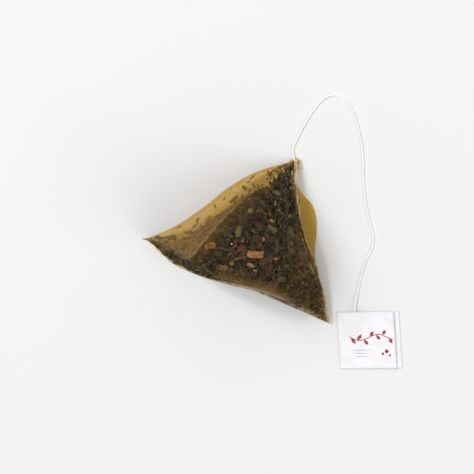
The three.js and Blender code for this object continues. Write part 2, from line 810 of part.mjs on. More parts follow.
function tagMesh() {
  const columns = 12;
  const left = -tagWidth / 2;
  const right = tagWidth / 2;
  const upperRight = right - tagStep;
  const foldX = left + paperFoldDepth;
  const profile = [];
  const add = (x, kind) => profile.push([x, kind]);
  for (let column = 0; column <= columns; column += 1) {
    add(foldX + ((right - foldX) * column) / columns, "under");
  }
  for (let column = columns; column >= 0; column -= 1) {
    add(foldX + ((right - foldX) * column) / columns, "overUnder");
  }
  for (let column = 0; column <= columns; column += 1) {
    add(foldX + ((upperRight - foldX) * column) / columns, "inside");
  }
  for (let column = columns; column >= 0; column -= 1) {
    add(foldX + ((upperRight - foldX) * column) / columns, "top");
  }
  add(left, "foldTop");
  add(left, "foldUnder");
  const heightOf = (kind, x, y) => {
    const gap = leafGap(x, y);
    if (kind === "under") return 0;
    if (kind === "overUnder") return paperThickness;
    if (kind === "inside") return paperThickness + gap;
    if (kind === "top") return 2 * paperThickness + gap;
    if (kind === "foldTop") return paperThickness + clearance;
    return paperThickness * 0.6;
  };
  const rows = 8;
  const rings = [];
  for (let row = 0; row <= rows; row += 1) {
    const y = tagHeight / 2 - (tagHeight * row) / rows;
    rings.push(profile.map(([x, kind]) => new THREE.Vector3(x, y, heightOf(kind, x, y))));
  }
  const capQuads = [];
  const width = columns + 1;
  for (let column = 0; column < columns; column += 1) {
    capQuads.push([column, column + 1, 2 * width - 2 - column, 2 * width - 1 - column]);
    const low = 2 * width + column;
    const high = 4 * width - 1 - column;
    capQuads.push([low, low + 1, high - 1, high]);
  }
  const foldTop = 4 * width;
  const foldUnder = foldTop + 1;
  capQuads.push([foldUnder, 0, 2 * width - 1, foldTop]);
  capQuads.push([foldTop, 2 * width - 1, 2 * width, 4 * width - 1]);
  const mesh = new THREE.Mesh(
    geometryFrom(bodyFrom(loftRings(rings, capQuads, capQuads))),
    materials.paper,
  );
  mesh.name = "tag";
  return mesh;
}

const group = new THREE.Group();
const pouch = new THREE.Mesh(geometryFrom(pouchSolid()), materials.mesh);
pouch.name = "mesh_pouch";
group.add(pouch);

const { meshes: looseMeshes, pockets } = pieceMeshes();
let bed = bedSolid();
for (const pocket of pockets) bed = bed.subtract(pocket);
const bedMesh = new THREE.Mesh(geometryFrom(bed), materials.leaf);
bedMesh.name = "leaf_bed";
group.add(bedMesh);
for (const mesh of looseMeshes) group.add(mesh);

group.add(threadMesh());
const tagPlace = new THREE.Group();
tagPlace.position.set(sealX + tagReach, -tagDrop, 0);
tagPlace.rotation.z = tagTurn;
tagPlace.add(tagMesh());
group.add(tagPlace);

export default group;
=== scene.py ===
"""A steeped pyramid tea bag: see-through mesh film round wet leaf tea, a thread and a paper tag."""

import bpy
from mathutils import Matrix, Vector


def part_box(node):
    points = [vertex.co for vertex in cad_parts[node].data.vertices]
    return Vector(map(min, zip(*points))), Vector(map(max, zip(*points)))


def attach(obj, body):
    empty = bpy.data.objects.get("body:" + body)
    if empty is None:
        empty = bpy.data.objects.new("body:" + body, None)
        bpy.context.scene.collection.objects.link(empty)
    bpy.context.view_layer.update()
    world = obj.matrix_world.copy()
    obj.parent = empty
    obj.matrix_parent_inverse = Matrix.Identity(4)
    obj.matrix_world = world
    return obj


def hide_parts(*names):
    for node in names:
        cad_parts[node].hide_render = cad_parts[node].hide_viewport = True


bl_info = {
    "name": "Pyramid Tea Bag",
    "version": (1, 0, 0),
    "blender": (4, 5, 0),
    "location": "View3D > Sidebar > Tea Bag",
    "description": "Makes the film, seals, tea, thread and tag of a pyramid tea bag, and its stage",
    "category": "Add Mesh",
}

import math

import bmesh
import bpy
import numpy as np
from mathutils import Matrix, Vector, noise
from mathutils.bvhtree import BVHTree

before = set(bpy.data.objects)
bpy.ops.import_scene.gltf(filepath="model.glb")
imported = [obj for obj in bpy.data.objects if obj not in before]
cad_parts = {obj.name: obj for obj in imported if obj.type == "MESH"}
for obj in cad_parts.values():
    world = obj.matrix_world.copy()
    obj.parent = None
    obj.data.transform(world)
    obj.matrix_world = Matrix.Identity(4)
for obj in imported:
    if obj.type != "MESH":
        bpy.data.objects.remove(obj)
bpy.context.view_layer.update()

MM = 0.001
BODY = "root"
FILM_NAME = "mesh_film"
LEAST_HEIGHT = 0.03 * MM
THREAD_SHARE = 0.34
WET_SPECULAR = 0.28
WHITE = (1, 1, 1, 1)
PER_SQUARE_MM = 1e6

# The thread seal stands at this x, and the route of the thread is given from it.
SEAL_X = 26.821 * MM
THREAD_TIP = np.array([SEAL_X + 0.5 * MM, 26.5 * MM, 0.9 * MM])
LOWER_TIP = np.array([SEAL_X, -26.5 * MM, 0.9 * MM])
FAR_TIP = np.array([SEAL_X - 55.5 * MM, 11 * MM, 1.6 * MM])
CROWN = np.array([SEAL_X - 23.5 * MM, 6.3 * MM, 49 * MM])
MIDDLE = (THREAD_TIP + LOWER_TIP + FAR_TIP + CROWN) / 4

# Each edge of the pouch: its two corners, the bow at its middle and an S-bend on top.
EDGES = {
    "far_seal": (FAR_TIP, CROWN, (0.3, 0.9, 0), (0, 0, 0)),
    "thread_seal": (THREAD_TIP, LOWER_TIP, (-0.3, 0, 5), (-1, 0, 0.8)),
    "far_fold": (FAR_TIP, THREAD_TIP, (0.8, 0.6, 2.5), (0.4, -1.7, 0.5)),
    "front_fold": (CROWN, THREAD_TIP, (-1.6, 1.6, 0), (0, 0, 0)),
    "lower_fold": (CROWN, LOWER_TIP, (0, 1, 0), (0, -1.7, 0)),
    "ground_fold": (FAR_TIP, LOWER_TIP, (-1, 1, 3), (0, 0, 0)),
}


def outward(a, b, c):
    """The unit normal of a triangle, away from the middle of the pouch."""
    normal = np.cross(b - a, c - a)
    normal /= np.linalg.norm(normal)
    return normal if normal @ (a - MIDDLE) > 0 else -normal


# Each face in order round the tube: its first and second fold, its normal, the height of its
# bulge, and the two powers that say where along the tube the bulge is highest.
FACES = {
    "far": ("far_fold", "front_fold", outward(FAR_TIP, CROWN, THREAD_TIP), 2.6 * MM, 0.6, 1),
    "front": ("front_fold", "lower_fold", outward(CROWN, THREAD_TIP, LOWER_TIP), 5.5 * MM, 1, 0.6),
    "lower": ("lower_fold", "ground_fold", outward(CROWN, LOWER_TIP, FAR_TIP), 3.6 * MM, 0.5, 3.4),
    "ground": ("ground_fold", "far_fold", outward(LOWER_TIP, FAR_TIP, THREAD_TIP), 8 * MM, 1, 0.5),
}
ROLL_BULGE = 13 * MM

# How far the film has whitened along each fold.
FOLD_WHITENING = {"far_fold": 0.3, "front_fold": 1.0, "lower_fold": 0.45, "ground_fold": 0.1}

# Stain, haze, silt and painted shade (one share), and cling of each face's film, before its folds and
# ends change them.
FILM_LOOKS = {
    "far": (1.0, 0.15, 0.0, 0.35),
    "front": (0.12, 0.015, 0.7, 1.0),
    "lower": (0.5, 0.015, 0.7, 1.0),
    "ground": (0.75, 0.1, 0.0, 0.6),
}

# The film unrolls to a strip as wide as the tube is round and as long as the tube.
STRIP_WIDTH = float(np.linalg.norm(THREAD_TIP - LOWER_TIP) + np.linalg.norm(FAR_TIP - CROWN))
TUBE_LENGTH = 52 * MM

# The thread's route from the seal, in millimetres: out of the tab, along the ground, into the tag.
# It started from places read on the thread in the photo and put on the ground, and was then moved.
THREAD_ROUTE = [
    (0.5, 25.9, 0.9), (0.4, 27.9, 0.75), (0.5, 30, 0.4), (1.9, 32.1, 0.3), (3.8, 34.6, 0.3),
    (6.3, 37.4, 0.3), (9, 40.2, 0.3), (11.9, 42.6, 0.3), (15, 44.1, 0.3), (18.2, 43.9, 0.3),
    (20.7, 41.6, 0.3), (22, 38, 0.3), (22.5, 34, 0.3), (22.7, 30, 0.3), (22.5, 25.5, 0.3),
    (21.9, 21.3, 0.3), (21.1, 17.6, 0.3), (20.4, 12.2, 0.3), (20.1, 6.2, 0.3), (20.4, 1.4, 0.3),
    (20.3, -2.6, 0.3), (18.9, -5.9, 0.3), (16.5, -9, 0.3), (13.9, -13.6, 0.3), (11.9, -18.2, 0.4),
    (10.3, -22, 0.75), (9.5, -25.2, 0.9), (9, -28.4, 0.9), (8.5, -32.3, 0.9),
]

# The camera's aim, and its azimuth, elevation, roll and distance below, are the best fit of the
# four corners to the places where the photo shows them.
CAMERA_AIM = Vector((SEAL_X - 24.083 * MM, 5.748 * MM, 0))

# Each lamp of the stage: its place, its size and its power.
LAMPS = {
    "key": ((-0.8, 0.95, 1.4), 0.75, 13.4),
    "glint": ((-0.3, 0.7, 1.2), 0.1, 3.6),
    "fill": ((1.0, -0.6, 1.0), 0.9, 6.6),
}
WORLD_STRENGTH = 0.54
FLOOR_REACH = 3.0

LOOSE_KINDS = {"peel_chip": "peel_chips", "green_leaf": "green_leaves", "dark_leaf": "dark_leaves",
               "petal": "petals", "stem": "stems", "berry": "berries"}


def sized(name, description, default, **more):
    """A length property, in metres."""
    return bpy.props.FloatProperty(
        name=name, description=description, default=default, subtype="DISTANCE", unit="LENGTH",
        precision=5, **more)


def angled(name, description, default):
    """An angle property, given in degrees."""
    return bpy.props.FloatProperty(
        name=name, description=description, default=math.radians(default), subtype="ANGLE",
        unit="ROTATION")


def coloured(name, description, red, green, blue):
    """A colour property, given as a screen shows it, from 0 to 255."""
    linear = [((c / 255 + 0.055) / 1.055) ** 2.4 if c > 10 else c / 255 / 12.92
              for c in (red, green, blue)]
    return bpy.props.FloatVectorProperty(
        name=name, description=description, default=linear, size=3, subtype="COLOR", min=0, max=1)


class TeaBagSizes(bpy.types.PropertyGroup):
    """Sizes of the tea bag's pieces, and the place of the camera."""

    film_thickness: sized("Film thickness", "Thickness of the mesh film", 0.11 * MM)
    weave_pitch: sized("Weave pitch", "From one thread of the mesh to the next", 0.36 * MM)
    slack_height: sized("Slack height", "Height of the film's soft waves", 0.28 * MM)
    crease_height: sized("Crease height", "Height of the creases along the lower fold", 0.34 * MM)
    fin_width: sized("Fin width", "Width of the welded fins", 1.25 * MM)
    fin_thickness: sized("Fin thickness", "Thickness of the welded fins", 0.26 * MM)
    seam_width: sized("Seam width", "Width of the tube's lap seam", 1.6 * MM)
    seam_height: sized("Seam height", "How far the lap seam stands off the film", 0.2 * MM)
    tab_width: sized("Tab width", "Width of the tab that holds the thread", 3.2 * MM)
    tab_length: sized("Tab length", "Length of the tab that holds the thread", 3.4 * MM)
    thread_diameter: sized("Thread diameter", "Across both plies of the thread", 0.6 * MM)
    twist_length: sized("Twist length", "Length of one full turn of the plies", 1.9 * MM)
    crumb_length: sized("Crumb length", "Length of a middling tea crumb", 1.9 * MM)
    crumb_cover: bpy.props.FloatProperty(
        name="Crumb cover", description="Crumbs on each square millimetre of the bed",
        default=0.5, min=0)
    clinging_cover: bpy.props.FloatProperty(
        name="Clinging cover", description="Crumbs on each square millimetre of film where they cling",
        default=0.77, min=0)
    bed_lump: sized("Bed lump", "Depth of the furrows between clumps of tea", 0.55 * MM)
    tag_width: sized("Tag width", "Width of the tag's under leaf", 20 * MM)
    tag_height: sized("Tag height", "Height of the tag", 18.5 * MM)
    paper_thickness: sized("Paper thickness", "Thickness of the tag's paper", 0.22 * MM)
    tag_turn: angled("Tag turn", "Turn of the tag on the ground", -8)
    lens: bpy.props.FloatProperty(
        name="Lens", description="Focal length of the camera", default=100, unit="CAMERA")
    camera_azimuth: angled("Camera azimuth", "Turn of the camera round the bag", 105.941)
    camera_elevation: angled("Camera elevation", "Height angle of the camera", 70.587)
    camera_roll: angled("Camera roll", "Turn of the picture about the line of sight", 242.765)
    camera_distance: sized("Camera distance", "From the camera to its aim", 428.517 * MM)


class TeaBagColours(bpy.types.PropertyGroup):
    """Colours of the tea bag's pieces."""

    film_tint: coloured("Film tint", "What one surface of the stained film lets through", 251, 241, 206)
    film_haze: coloured("Film haze", "The nylon of the film and the water on it", 214, 156, 44)
    # This colour is both tea dust on the film and the painted shade of the leaves behind the far face.
    film_silt_and_shade: coloured("Film silt", "Fine tea dust that clouds the film", 86, 70, 50)
    film_crease: coloured("Film crease", "The whitened line of a fold", 160, 134, 82)
    seal: coloured("Seal", "The welded fins", 222, 202, 150)
    leaf_black: coloured("Black leaf", "The darkest tea", 24, 22, 20)
    leaf_brown: coloured("Brown leaf", "Brown tea", 96, 74, 54)
    leaf_olive: coloured("Olive leaf", "Green leaf gone dull", 96, 98, 50)
    leaf_plum: coloured("Plum leaf", "Reddish tea", 92, 58, 54)
    leaf_green: coloured("Green leaf", "The freshest leaf", 98, 110, 52)
    peel: coloured("Peel", "Rind of the peel chips", 190, 124, 70)
    pith: coloured("Pith", "Inner side of the peel chips", 214, 172, 120)
    petal: coloured("Petal", "Flower petals", 138, 66, 62)
    stem: coloured("Stem", "Woody stalks", 124, 88, 54)
    berry: coloured("Berry", "Round seeds", 126, 116, 60)
    thread: coloured("Thread", "Cotton thread", 253, 252, 250)
    paper: coloured("Paper", "The tag's paper", 242, 241, 245)
    print_red: coloured("Print red", "The tag's printed sprig", 158, 44, 48)
    print_grey: coloured("Print grey", "The tag's printed lines", 176, 170, 174)
    floor: coloured("Floor", "The floor of the stage", 232, 232, 232)


def sizes():
    return bpy.context.scene.tea_bag_sizes


def colour(name):
    return (*getattr(bpy.context.scene.tea_bag_colours, name), 1)


def dimmed(name, red, green, blue):
    """A named colour with each part of its light cut to a share."""
    return tuple(part * share for part, share in zip(colour(name), (red, green, blue, 1)))


class Graph:
    """Adds nodes to a node tree and wires them."""

    def __init__(self, tree):
        self.tree = tree

    def add(self, kind, settings=None, inputs=None):
        node = self.tree.nodes.new(kind)
        for name, value in (settings or {}).items():
            setattr(node, name, value)
        for key, value in (inputs or {}).items():
            self.feed(node.inputs[key], value)
        return node

    def feed(self, socket, value):
        if isinstance(value, bpy.types.NodeSocket):
            self.tree.links.new(value, socket)
        else:
            socket.default_value = value

    def math(self, operation, a, b=0.0, c=0.0, clamp=False):
        settings = {"operation": operation, "use_clamp": clamp}
        return self.add("ShaderNodeMath", settings, {0: a, 1: b, 2: c}).outputs[0]

    def plus(self, a, b):
        return self.math("ADD", a, b)

    def minus(self, a, b):
        return self.math("SUBTRACT", a, b)

    def times(self, a, b):
        return self.math("MULTIPLY", a, b)

    def size_of(self, value):
        return self.math("ABSOLUTE", value)

    def vector(self, operation, a, b=(0, 0, 0), scale=None):
        inputs = {0: a, 1: b}
        if scale is not None:
            inputs["Scale"] = scale
        node = self.add("ShaderNodeVectorMath", {"operation": operation}, inputs)
        return node.outputs["Value" if operation in ("LENGTH", "DOT_PRODUCT") else "Vector"]

    def between(self, share, low, high):
        """A colour from low to high."""
        node = self.add("ShaderNodeMix", {"data_type": "RGBA"}, {0: share, 6: low, 7: high})
        return node.outputs[2]

    def tinted(self, a, b):
        """Two colours multiplied."""
        settings = {"data_type": "RGBA", "blend_type": "MULTIPLY"}
        return self.add("ShaderNodeMix", settings, {0: 1.0, 6: a, 7: b}).outputs[2]

    def ranged(self, value, low, high, start=0.0, finish=1.0, smooth=True):
        kind = {"interpolation_type": "SMOOTHSTEP" if smooth else "LINEAR"}
        inputs = {0: value, 1: low, 2: high, 3: start, 4: finish}
        return self.add("ShaderNodeMapRange", kind, inputs).outputs[0]

    def split(self, vector):
        return self.add("ShaderNodeSeparateXYZ", None, {0: vector}).outputs

    def attribute(self, name):
        return self.add("ShaderNodeAttribute", {"attribute_name": name}).outputs["Fac"]

    def noise(self, vector, scale, detail=3.0, roughness=0.55, distortion=0.0):
        inputs = {"Vector": vector, "Scale": scale, "Detail": detail, "Roughness": roughness,
                  "Distortion": distortion}
        return self.add("ShaderNodeTexNoise", None, inputs).outputs["Fac"]

    def ramp(self, share, stops):
        node = self.add("ShaderNodeValToRGB", None, {0: share})
        elements = node.color_ramp.elements
        while len(elements) < len(stops):
            elements.new(1.0)
        for element, (place, shade) in zip(elements, stops):
            element.position = place
            element.color = shade
        return node.outputs[0]


def node_group(name, kind, inputs, outputs):
    """A node group with named sockets. Gives its graph, its inputs and its outputs."""
    tree = bpy.data.node_groups.new(name, kind)
    for label, socket_kind, default in inputs:
        socket = tree.interface.new_socket(label, in_out="INPUT", socket_type=socket_kind)
        if default is not None:
            socket.default_value = default
    for label, socket_kind in outputs:
        tree.interface.new_socket(label, in_out="OUTPUT", socket_type=socket_kind)
    graph = Graph(tree)
    return graph, graph.add("NodeGroupInput").outputs, graph.add("NodeGroupOutput").inputs


def effect(name, inputs, outputs):
    """A shader node group."""
    return node_group(name, "ShaderNodeTree", inputs, outputs)


def geometry_tree(name, inputs):
    """A Geometry Nodes tree with a geometry in and out, and named inputs with defaults."""
    inputs = [("Geometry", "NodeSocketGeometry", None), *inputs]
    return node_group(name, "GeometryNodeTree", inputs, [("Geometry", "NodeSocketGeometry")])


def wet_mottle():
    """Blotches of two colours, with a wet or dry patchiness and a fine grain of height."""
    if "wet mottle" in bpy.data.node_groups:
        return bpy.data.node_groups["wet mottle"]
    graph, given, out = effect(
        "wet mottle",
        [("Vector", "NodeSocketVector", None), ("Scale", "NodeSocketFloat", 900.0),
         ("Light", "NodeSocketColor", WHITE), ("Dark", "NodeSocketColor", (0, 0, 0, 1)),
         ("Roughness Low", "NodeSocketFloat", 0.25), ("Roughness High", "NodeSocketFloat", 0.6)],
        [("Colour", "NodeSocketColor"), ("Roughness", "NodeSocketFloat"),
         ("Height", "NodeSocketFloat")])
    blotch = graph.noise(given["Vector"], given["Scale"], 4.0, 0.6, 0.4)
    fine = graph.noise(given["Vector"], graph.times(given["Scale"], 4.3), 3.0)
    share = graph.ranged(blotch, 0.36, 0.64)
    graph.feed(out["Colour"], graph.between(share, given["Dark"], given["Light"]))
    rough = graph.ranged(fine, 0.3, 0.7, given["Roughness Low"], given["Roughness High"])
    graph.feed(out["Roughness"], rough)
    graph.feed(out["Height"], graph.math("MULTIPLY_ADD", fine, 0.4, graph.times(blotch, 0.6)))
    return graph.tree


def woven_mesh():
    """Threads of a plain weave from a place on the cloth, counted in threads."""
    if "woven mesh" in bpy.data.node_groups:
        return bpy.data.node_groups["woven mesh"]
    graph, given, out = effect(
        "woven mesh",
        [("Vector", "NodeSocketVector", None), ("Thread Share", "NodeSocketFloat", THREAD_SHARE)],
        [("Threads", "NodeSocketFloat"), ("Height", "NodeSocketFloat")])
    parts = graph.split(given["Vector"])
    half = graph.times(given["Thread Share"], 0.5)
    ridges = []
    for axis in (0, 1):
        across = graph.minus(graph.math("FRACT", parts[axis]), 0.5)
        edge = graph.math("DIVIDE", graph.size_of(across), half)
        flat = graph.minus(1.0, graph.math("MINIMUM", edge, 1.0))
        over = graph.math("SINE", graph.times(parts[1 - axis], math.pi))
        turn = graph.math("SINE", graph.times(graph.math("FLOOR", parts[axis]), math.pi))
        ridges.append((flat, graph.plus(over, turn)))
    warp, weft = ridges
    seen = graph.math("MAXIMUM", warp[0], weft[0])
    graph.feed(out["Threads"], graph.ranged(seen, 0.0, 0.45))
    lift = graph.math("MULTIPLY_ADD", warp[1], 0.15, graph.math("SQRT", warp[0]))
    graph.feed(out["Height"], graph.math("MAXIMUM", lift, graph.math("SQRT", weft[0])))
    return graph.tree


def material(name):
    """A material with one Principled shader. Gives the material, its graph and the shader."""
    made = bpy.data.materials.new(name)
    made.use_nodes = True
    graph = Graph(made.node_tree)
    return made, graph, made.node_tree.nodes["Principled BSDF"]


def object_place(graph):
    """The place of a point on the object, in metres."""
    return graph.add("ShaderNodeTexCoord").outputs["Object"]


def grain(graph, shader, height, strength, distance):
    """Lets a height move the shader's normal."""
    bump = graph.add("ShaderNodeBump", None, {
        "Height": height, "Strength": strength, "Distance": distance})
    graph.feed(shader.inputs["Normal"], bump.outputs["Normal"])


def painted_depth_shade(graph, tone):
    """A colour with painted shade: darkened towards black by the depth that each larger piece's points
    carry, as if it lay deeper in the tea.
    """
    return graph.between(graph.times(graph.attribute("depth"), 0.75), tone, colour("leaf_black"))


def blotched(graph, shader, scale, light, dark, gloss):
    """Feeds the shader's roughness from a wet mottle, and gives the mottle's outputs."""
    group = graph.add("ShaderNodeGroup", {"node_tree": wet_mottle()}, {
        "Vector": object_place(graph), "Scale": scale, "Light": light, "Dark": dark,
        "Roughness Low": gloss[0], "Roughness High": gloss[1]})
    graph.feed(shader.inputs["Roughness"], group.outputs["Roughness"])
    return group.outputs


def mottled(name, light, dark, scale, gloss=(0.22, 0.55), bump=0.5):
    """A wet, blotchy material between two colours, with painted shade by the depth its points carry."""
    made, graph, shader = material(name)
    mottle = blotched(graph, shader, scale, light, dark, gloss)
    graph.feed(shader.inputs["Base Color"], painted_depth_shade(graph, mottle["Colour"]))
    grain(graph, shader, mottle["Height"], bump, 0.25 * MM)
    shader.inputs["Specular IOR Level"].default_value = WET_SPECULAR
    return made


def film_material():
    """Stained see-through mesh. paint gives the film's points their shares of stain, haze and so on."""
    made, graph, shader = material("stained mesh")
    place = graph.add("ShaderNodeUVMap", {"uv_map": "strip"}).outputs[0]
    pitch = sizes().weave_pitch
    count = (STRIP_WIDTH * 1.25 / pitch, TUBE_LENGTH / pitch, 1)
    threads = graph.add("ShaderNodeGroup", {"node_tree": woven_mesh()}, {
        "Vector": graph.vector("MULTIPLY", place, count), "Thread Share": THREAD_SHARE})
    mottle = blotched(graph, shader, 420.0, WHITE, (0.62, 0.62, 0.62, 1), (0.16, 0.42))
    # This share darkens the film's own colour: tea dust, and on the far face painted shade of the leaves
    # behind it.
    silt = graph.attribute("silt")
    crease = graph.attribute("crease")
    dry = graph.math("SUBTRACT", 1.0, graph.attribute("cling"), clamp=True)
    parts = graph.split(place)
    from_fold = graph.minus(graph.times(parts[0], 5.0), parts[1])
    across = graph.times(from_fold, STRIP_WIDTH / 4 / MM)
    along = graph.times(parts[1], TUBE_LENGTH / MM * 0.14)
    folds = graph.noise(graph.add("ShaderNodeCombineXYZ", None, {0: across, 1: along}).outputs[0],
                        0.42, 2.0, 0.5)
    line = graph.size_of(graph.minus(folds, 0.5))
    line = graph.times(graph.ranged(line, 0.0, 0.022, 1.0, 0.0), dry)
    crease = graph.math("MULTIPLY_ADD", line, 0.55, crease, clamp=True)
    tone = graph.between(silt, colour("film_haze"), colour("film_silt_and_shade"))
    tone = graph.between(crease, tone, colour("film_crease"))
    graph.feed(shader.inputs["Base Color"], graph.tinted(tone, mottle["Colour"]))
    grain(graph, shader, threads.outputs["Height"], 0.35, 0.05 * MM)
    haze = graph.math("MULTIPLY_ADD", crease, 0.35, graph.attribute("haze"))
    shown = graph.math("MULTIPLY_ADD", dry, 0.2, 0.05)
    woven = graph.math("MULTIPLY_ADD", threads.outputs["Threads"], shown, haze, clamp=True)
    facing = graph.minus(1.0, graph.add("ShaderNodeNewGeometry").outputs["Backfacing"])
    woven = graph.times(woven, facing)
    tint = graph.between(graph.attribute("stain"), WHITE, colour("film_tint"))
    clear = graph.add("ShaderNodeBsdfTransparent", None, {"Color": tint})
    mixed = graph.add("ShaderNodeMixShader", None, {
        0: woven, 1: clear.outputs[0], 2: shader.outputs[0]})
    output = made.node_tree.nodes["Material Output"]
    made.node_tree.links.new(mixed.outputs[0], output.inputs["Surface"])
    return made


def bow_of(edge, t):
    """How far an edge strays from its chord at t, for arrays of t."""
    bow, bend = (np.array(v, float) * MM for v in EDGES[edge][2:])
    return np.sin(np.pi * t)[..., None] * bow + np.sin(2 * np.pi * t)[..., None] * bend


def on_edge(edge, t):
    """Places on an edge of the pouch, from its first corner to its second."""
    start, end = EDGES[edge][:2]
    t = np.asarray(t, float)
    return start + (end - start) * t[..., None] + bow_of(edge, t)


def swell(t, rise, fall):
    """A bulge along the tube from 0 at its ends to 1 at its peak, by two powers."""
    peak = rise / (rise + fall)
    return t ** rise * (1 - t) ** fall / (peak ** rise * (1 - peak) ** fall)


def hill(at, place, width):
    """A smooth rise to 1 at a place, and down again."""
    return np.exp(-(((at - place) / width) ** 2))


def grows(at, start, run):
    """From 0 before the start to 1 a run past it."""
    return np.clip((at - start) / run, 0, 1)


def fades(at, end, run):
    """From 1 a run before the end to 0 past it."""
    return np.clip((end - at) / run, 0, 1)


def near_ends(t, run):
    """1 along the tube, falling to 0 at its two seals."""
    return np.clip(np.minimum(t, 1 - t) / run, 0, 1)


def sheet_points(face, s, t):
    """Points of the film: s across a face from fold to fold, t along the tube."""
    first, second, normal, bulge, rise, fall = FACES[face]
    a, b = on_edge(first, t), on_edge(second, t)
    point = a + (b - a) * s[..., None]
    if face in ("far", "lower"):
        at = s if face == "far" else 1 - s
        point = point + ((1 - t) ** 2)[..., None] * bow_of("far_seal", at)
    else:
        at = s if face == "front" else 1 - s
        point = point + (t ** 2)[..., None] * bow_of("thread_seal", at)
    point = point + (bulge * 4 * s * (1 - s) * swell(t, rise, fall))[..., None] * normal
    if face == "ground":
        along = hill(t, 0.86, 0.14) * (1 - np.exp(-(1 - t) / 0.05))
        across = np.sin(np.pi * np.clip(s, 0, 1)) ** 0.7
        near = 0.42 + 0.58 * hill(s, 0.7, 0.26)
        point[..., 0] += ROLL_BULGE * along * across * near
    return point


def sheet_normals(face, s, t):
    """Outward normals of the film, by small steps over it."""
    step = 0.004
    low_s, high_s = np.clip(s - step, 0, 1), np.clip(s + step, 0, 1)
    low_t, high_t = np.clip(t - step, 0.0005, 0.9995), np.clip(t + step, 0.0005, 0.9995)
    mid_t = np.clip(t, 0.0005, 0.9995)
    across = sheet_points(face, high_s, mid_t) - sheet_points(face, low_s, mid_t)
    along = sheet_points(face, s, high_t) - sheet_points(face, s, low_t)
    normal = np.cross(across, along)
    normal /= np.maximum(np.linalg.norm(normal, axis=-1, keepdims=True), 1e-12)
    flip = np.sign((normal * FACES[face][2]).sum(-1, keepdims=True))
    if face == "ground":
        flip = np.full_like(flip, np.sign(np.median(flip)))
    return normal * np.where(flip == 0, 1, flip)


def wave(points, wavelength, seed):
    """Smooth noise from -1 to 1 at each point."""
    shift = Vector((seed * 7.3, seed * 3.1, seed * 5.7))
    flat = points.reshape(-1, 3)
    found = [noise.noise(Vector(p) / wavelength + shift) for p in flat]
    return np.array(found).reshape(points.shape[:-1])


def face_width(face, t):
    """How far it is across a face from fold to fold."""
    return np.linalg.norm(on_edge(FACES[face][1], t) - on_edge(FACES[face][0], t), axis=-1)


def from_folds(face, s, t):
    """How far each place is from the face's first fold and from its second."""
    width = face_width(face, t)
    return s * width, (1 - s) * width


def slack(face, s, t, points):
    """How far the film stands off its smooth form: soft waves, creases and puckers."""
    given = sizes()
    off_folds = np.clip(4 * s * (1 - s), 0, 1) ** 0.6
    soft = wave(points, 9 * MM, 1) + 0.5 * wave(points, 3.6 * MM, 2)
    height = given.slack_height * soft
    from_first = s * face_width(face, t)
    along = t * TUBE_LENGTH
    streaks = np.stack([from_first, along * 0.12, np.zeros_like(s)], -1)
    if face == "lower":
        band = hill(from_first, 5 * MM, 5 * MM) * grows(t, 0.06, 0.1) * fades(t, 0.84, 0.12)
        ridge = 1 - 2 * np.abs(wave(streaks, 1.5 * MM, 5))
        height += given.crease_height * band * ridge
    if face == "far":
        height += 0.3 * MM * wave(streaks, 7 * MM, 8)
    if face == "ground":
        diagonal = np.stack([from_first + along * 0.8, along * 0.1, np.zeros_like(s)], -1)
        height += 0.5 * MM * hill(t, 0.86, 0.12) * (1 - 2 * np.abs(wave(diagonal, 6 * MM, 4)))
    if face == "front":
        pull = np.stack([from_first * 0.2, along, np.zeros_like(s)], -1)
        height += 0.22 * MM * wave(pull, 3 * MM, 6)
    to_seal = (1 - t) * TUBE_LENGTH
    pucker = np.stack([from_first, to_seal * 0.1, np.ones_like(s) * 0.01], -1)
    height += 0.5 * MM * np.exp(-to_seal / (3 * MM)) * wave(pucker, 1.6 * MM, 9)
    return height * off_folds * near_ends(t, 0.03)


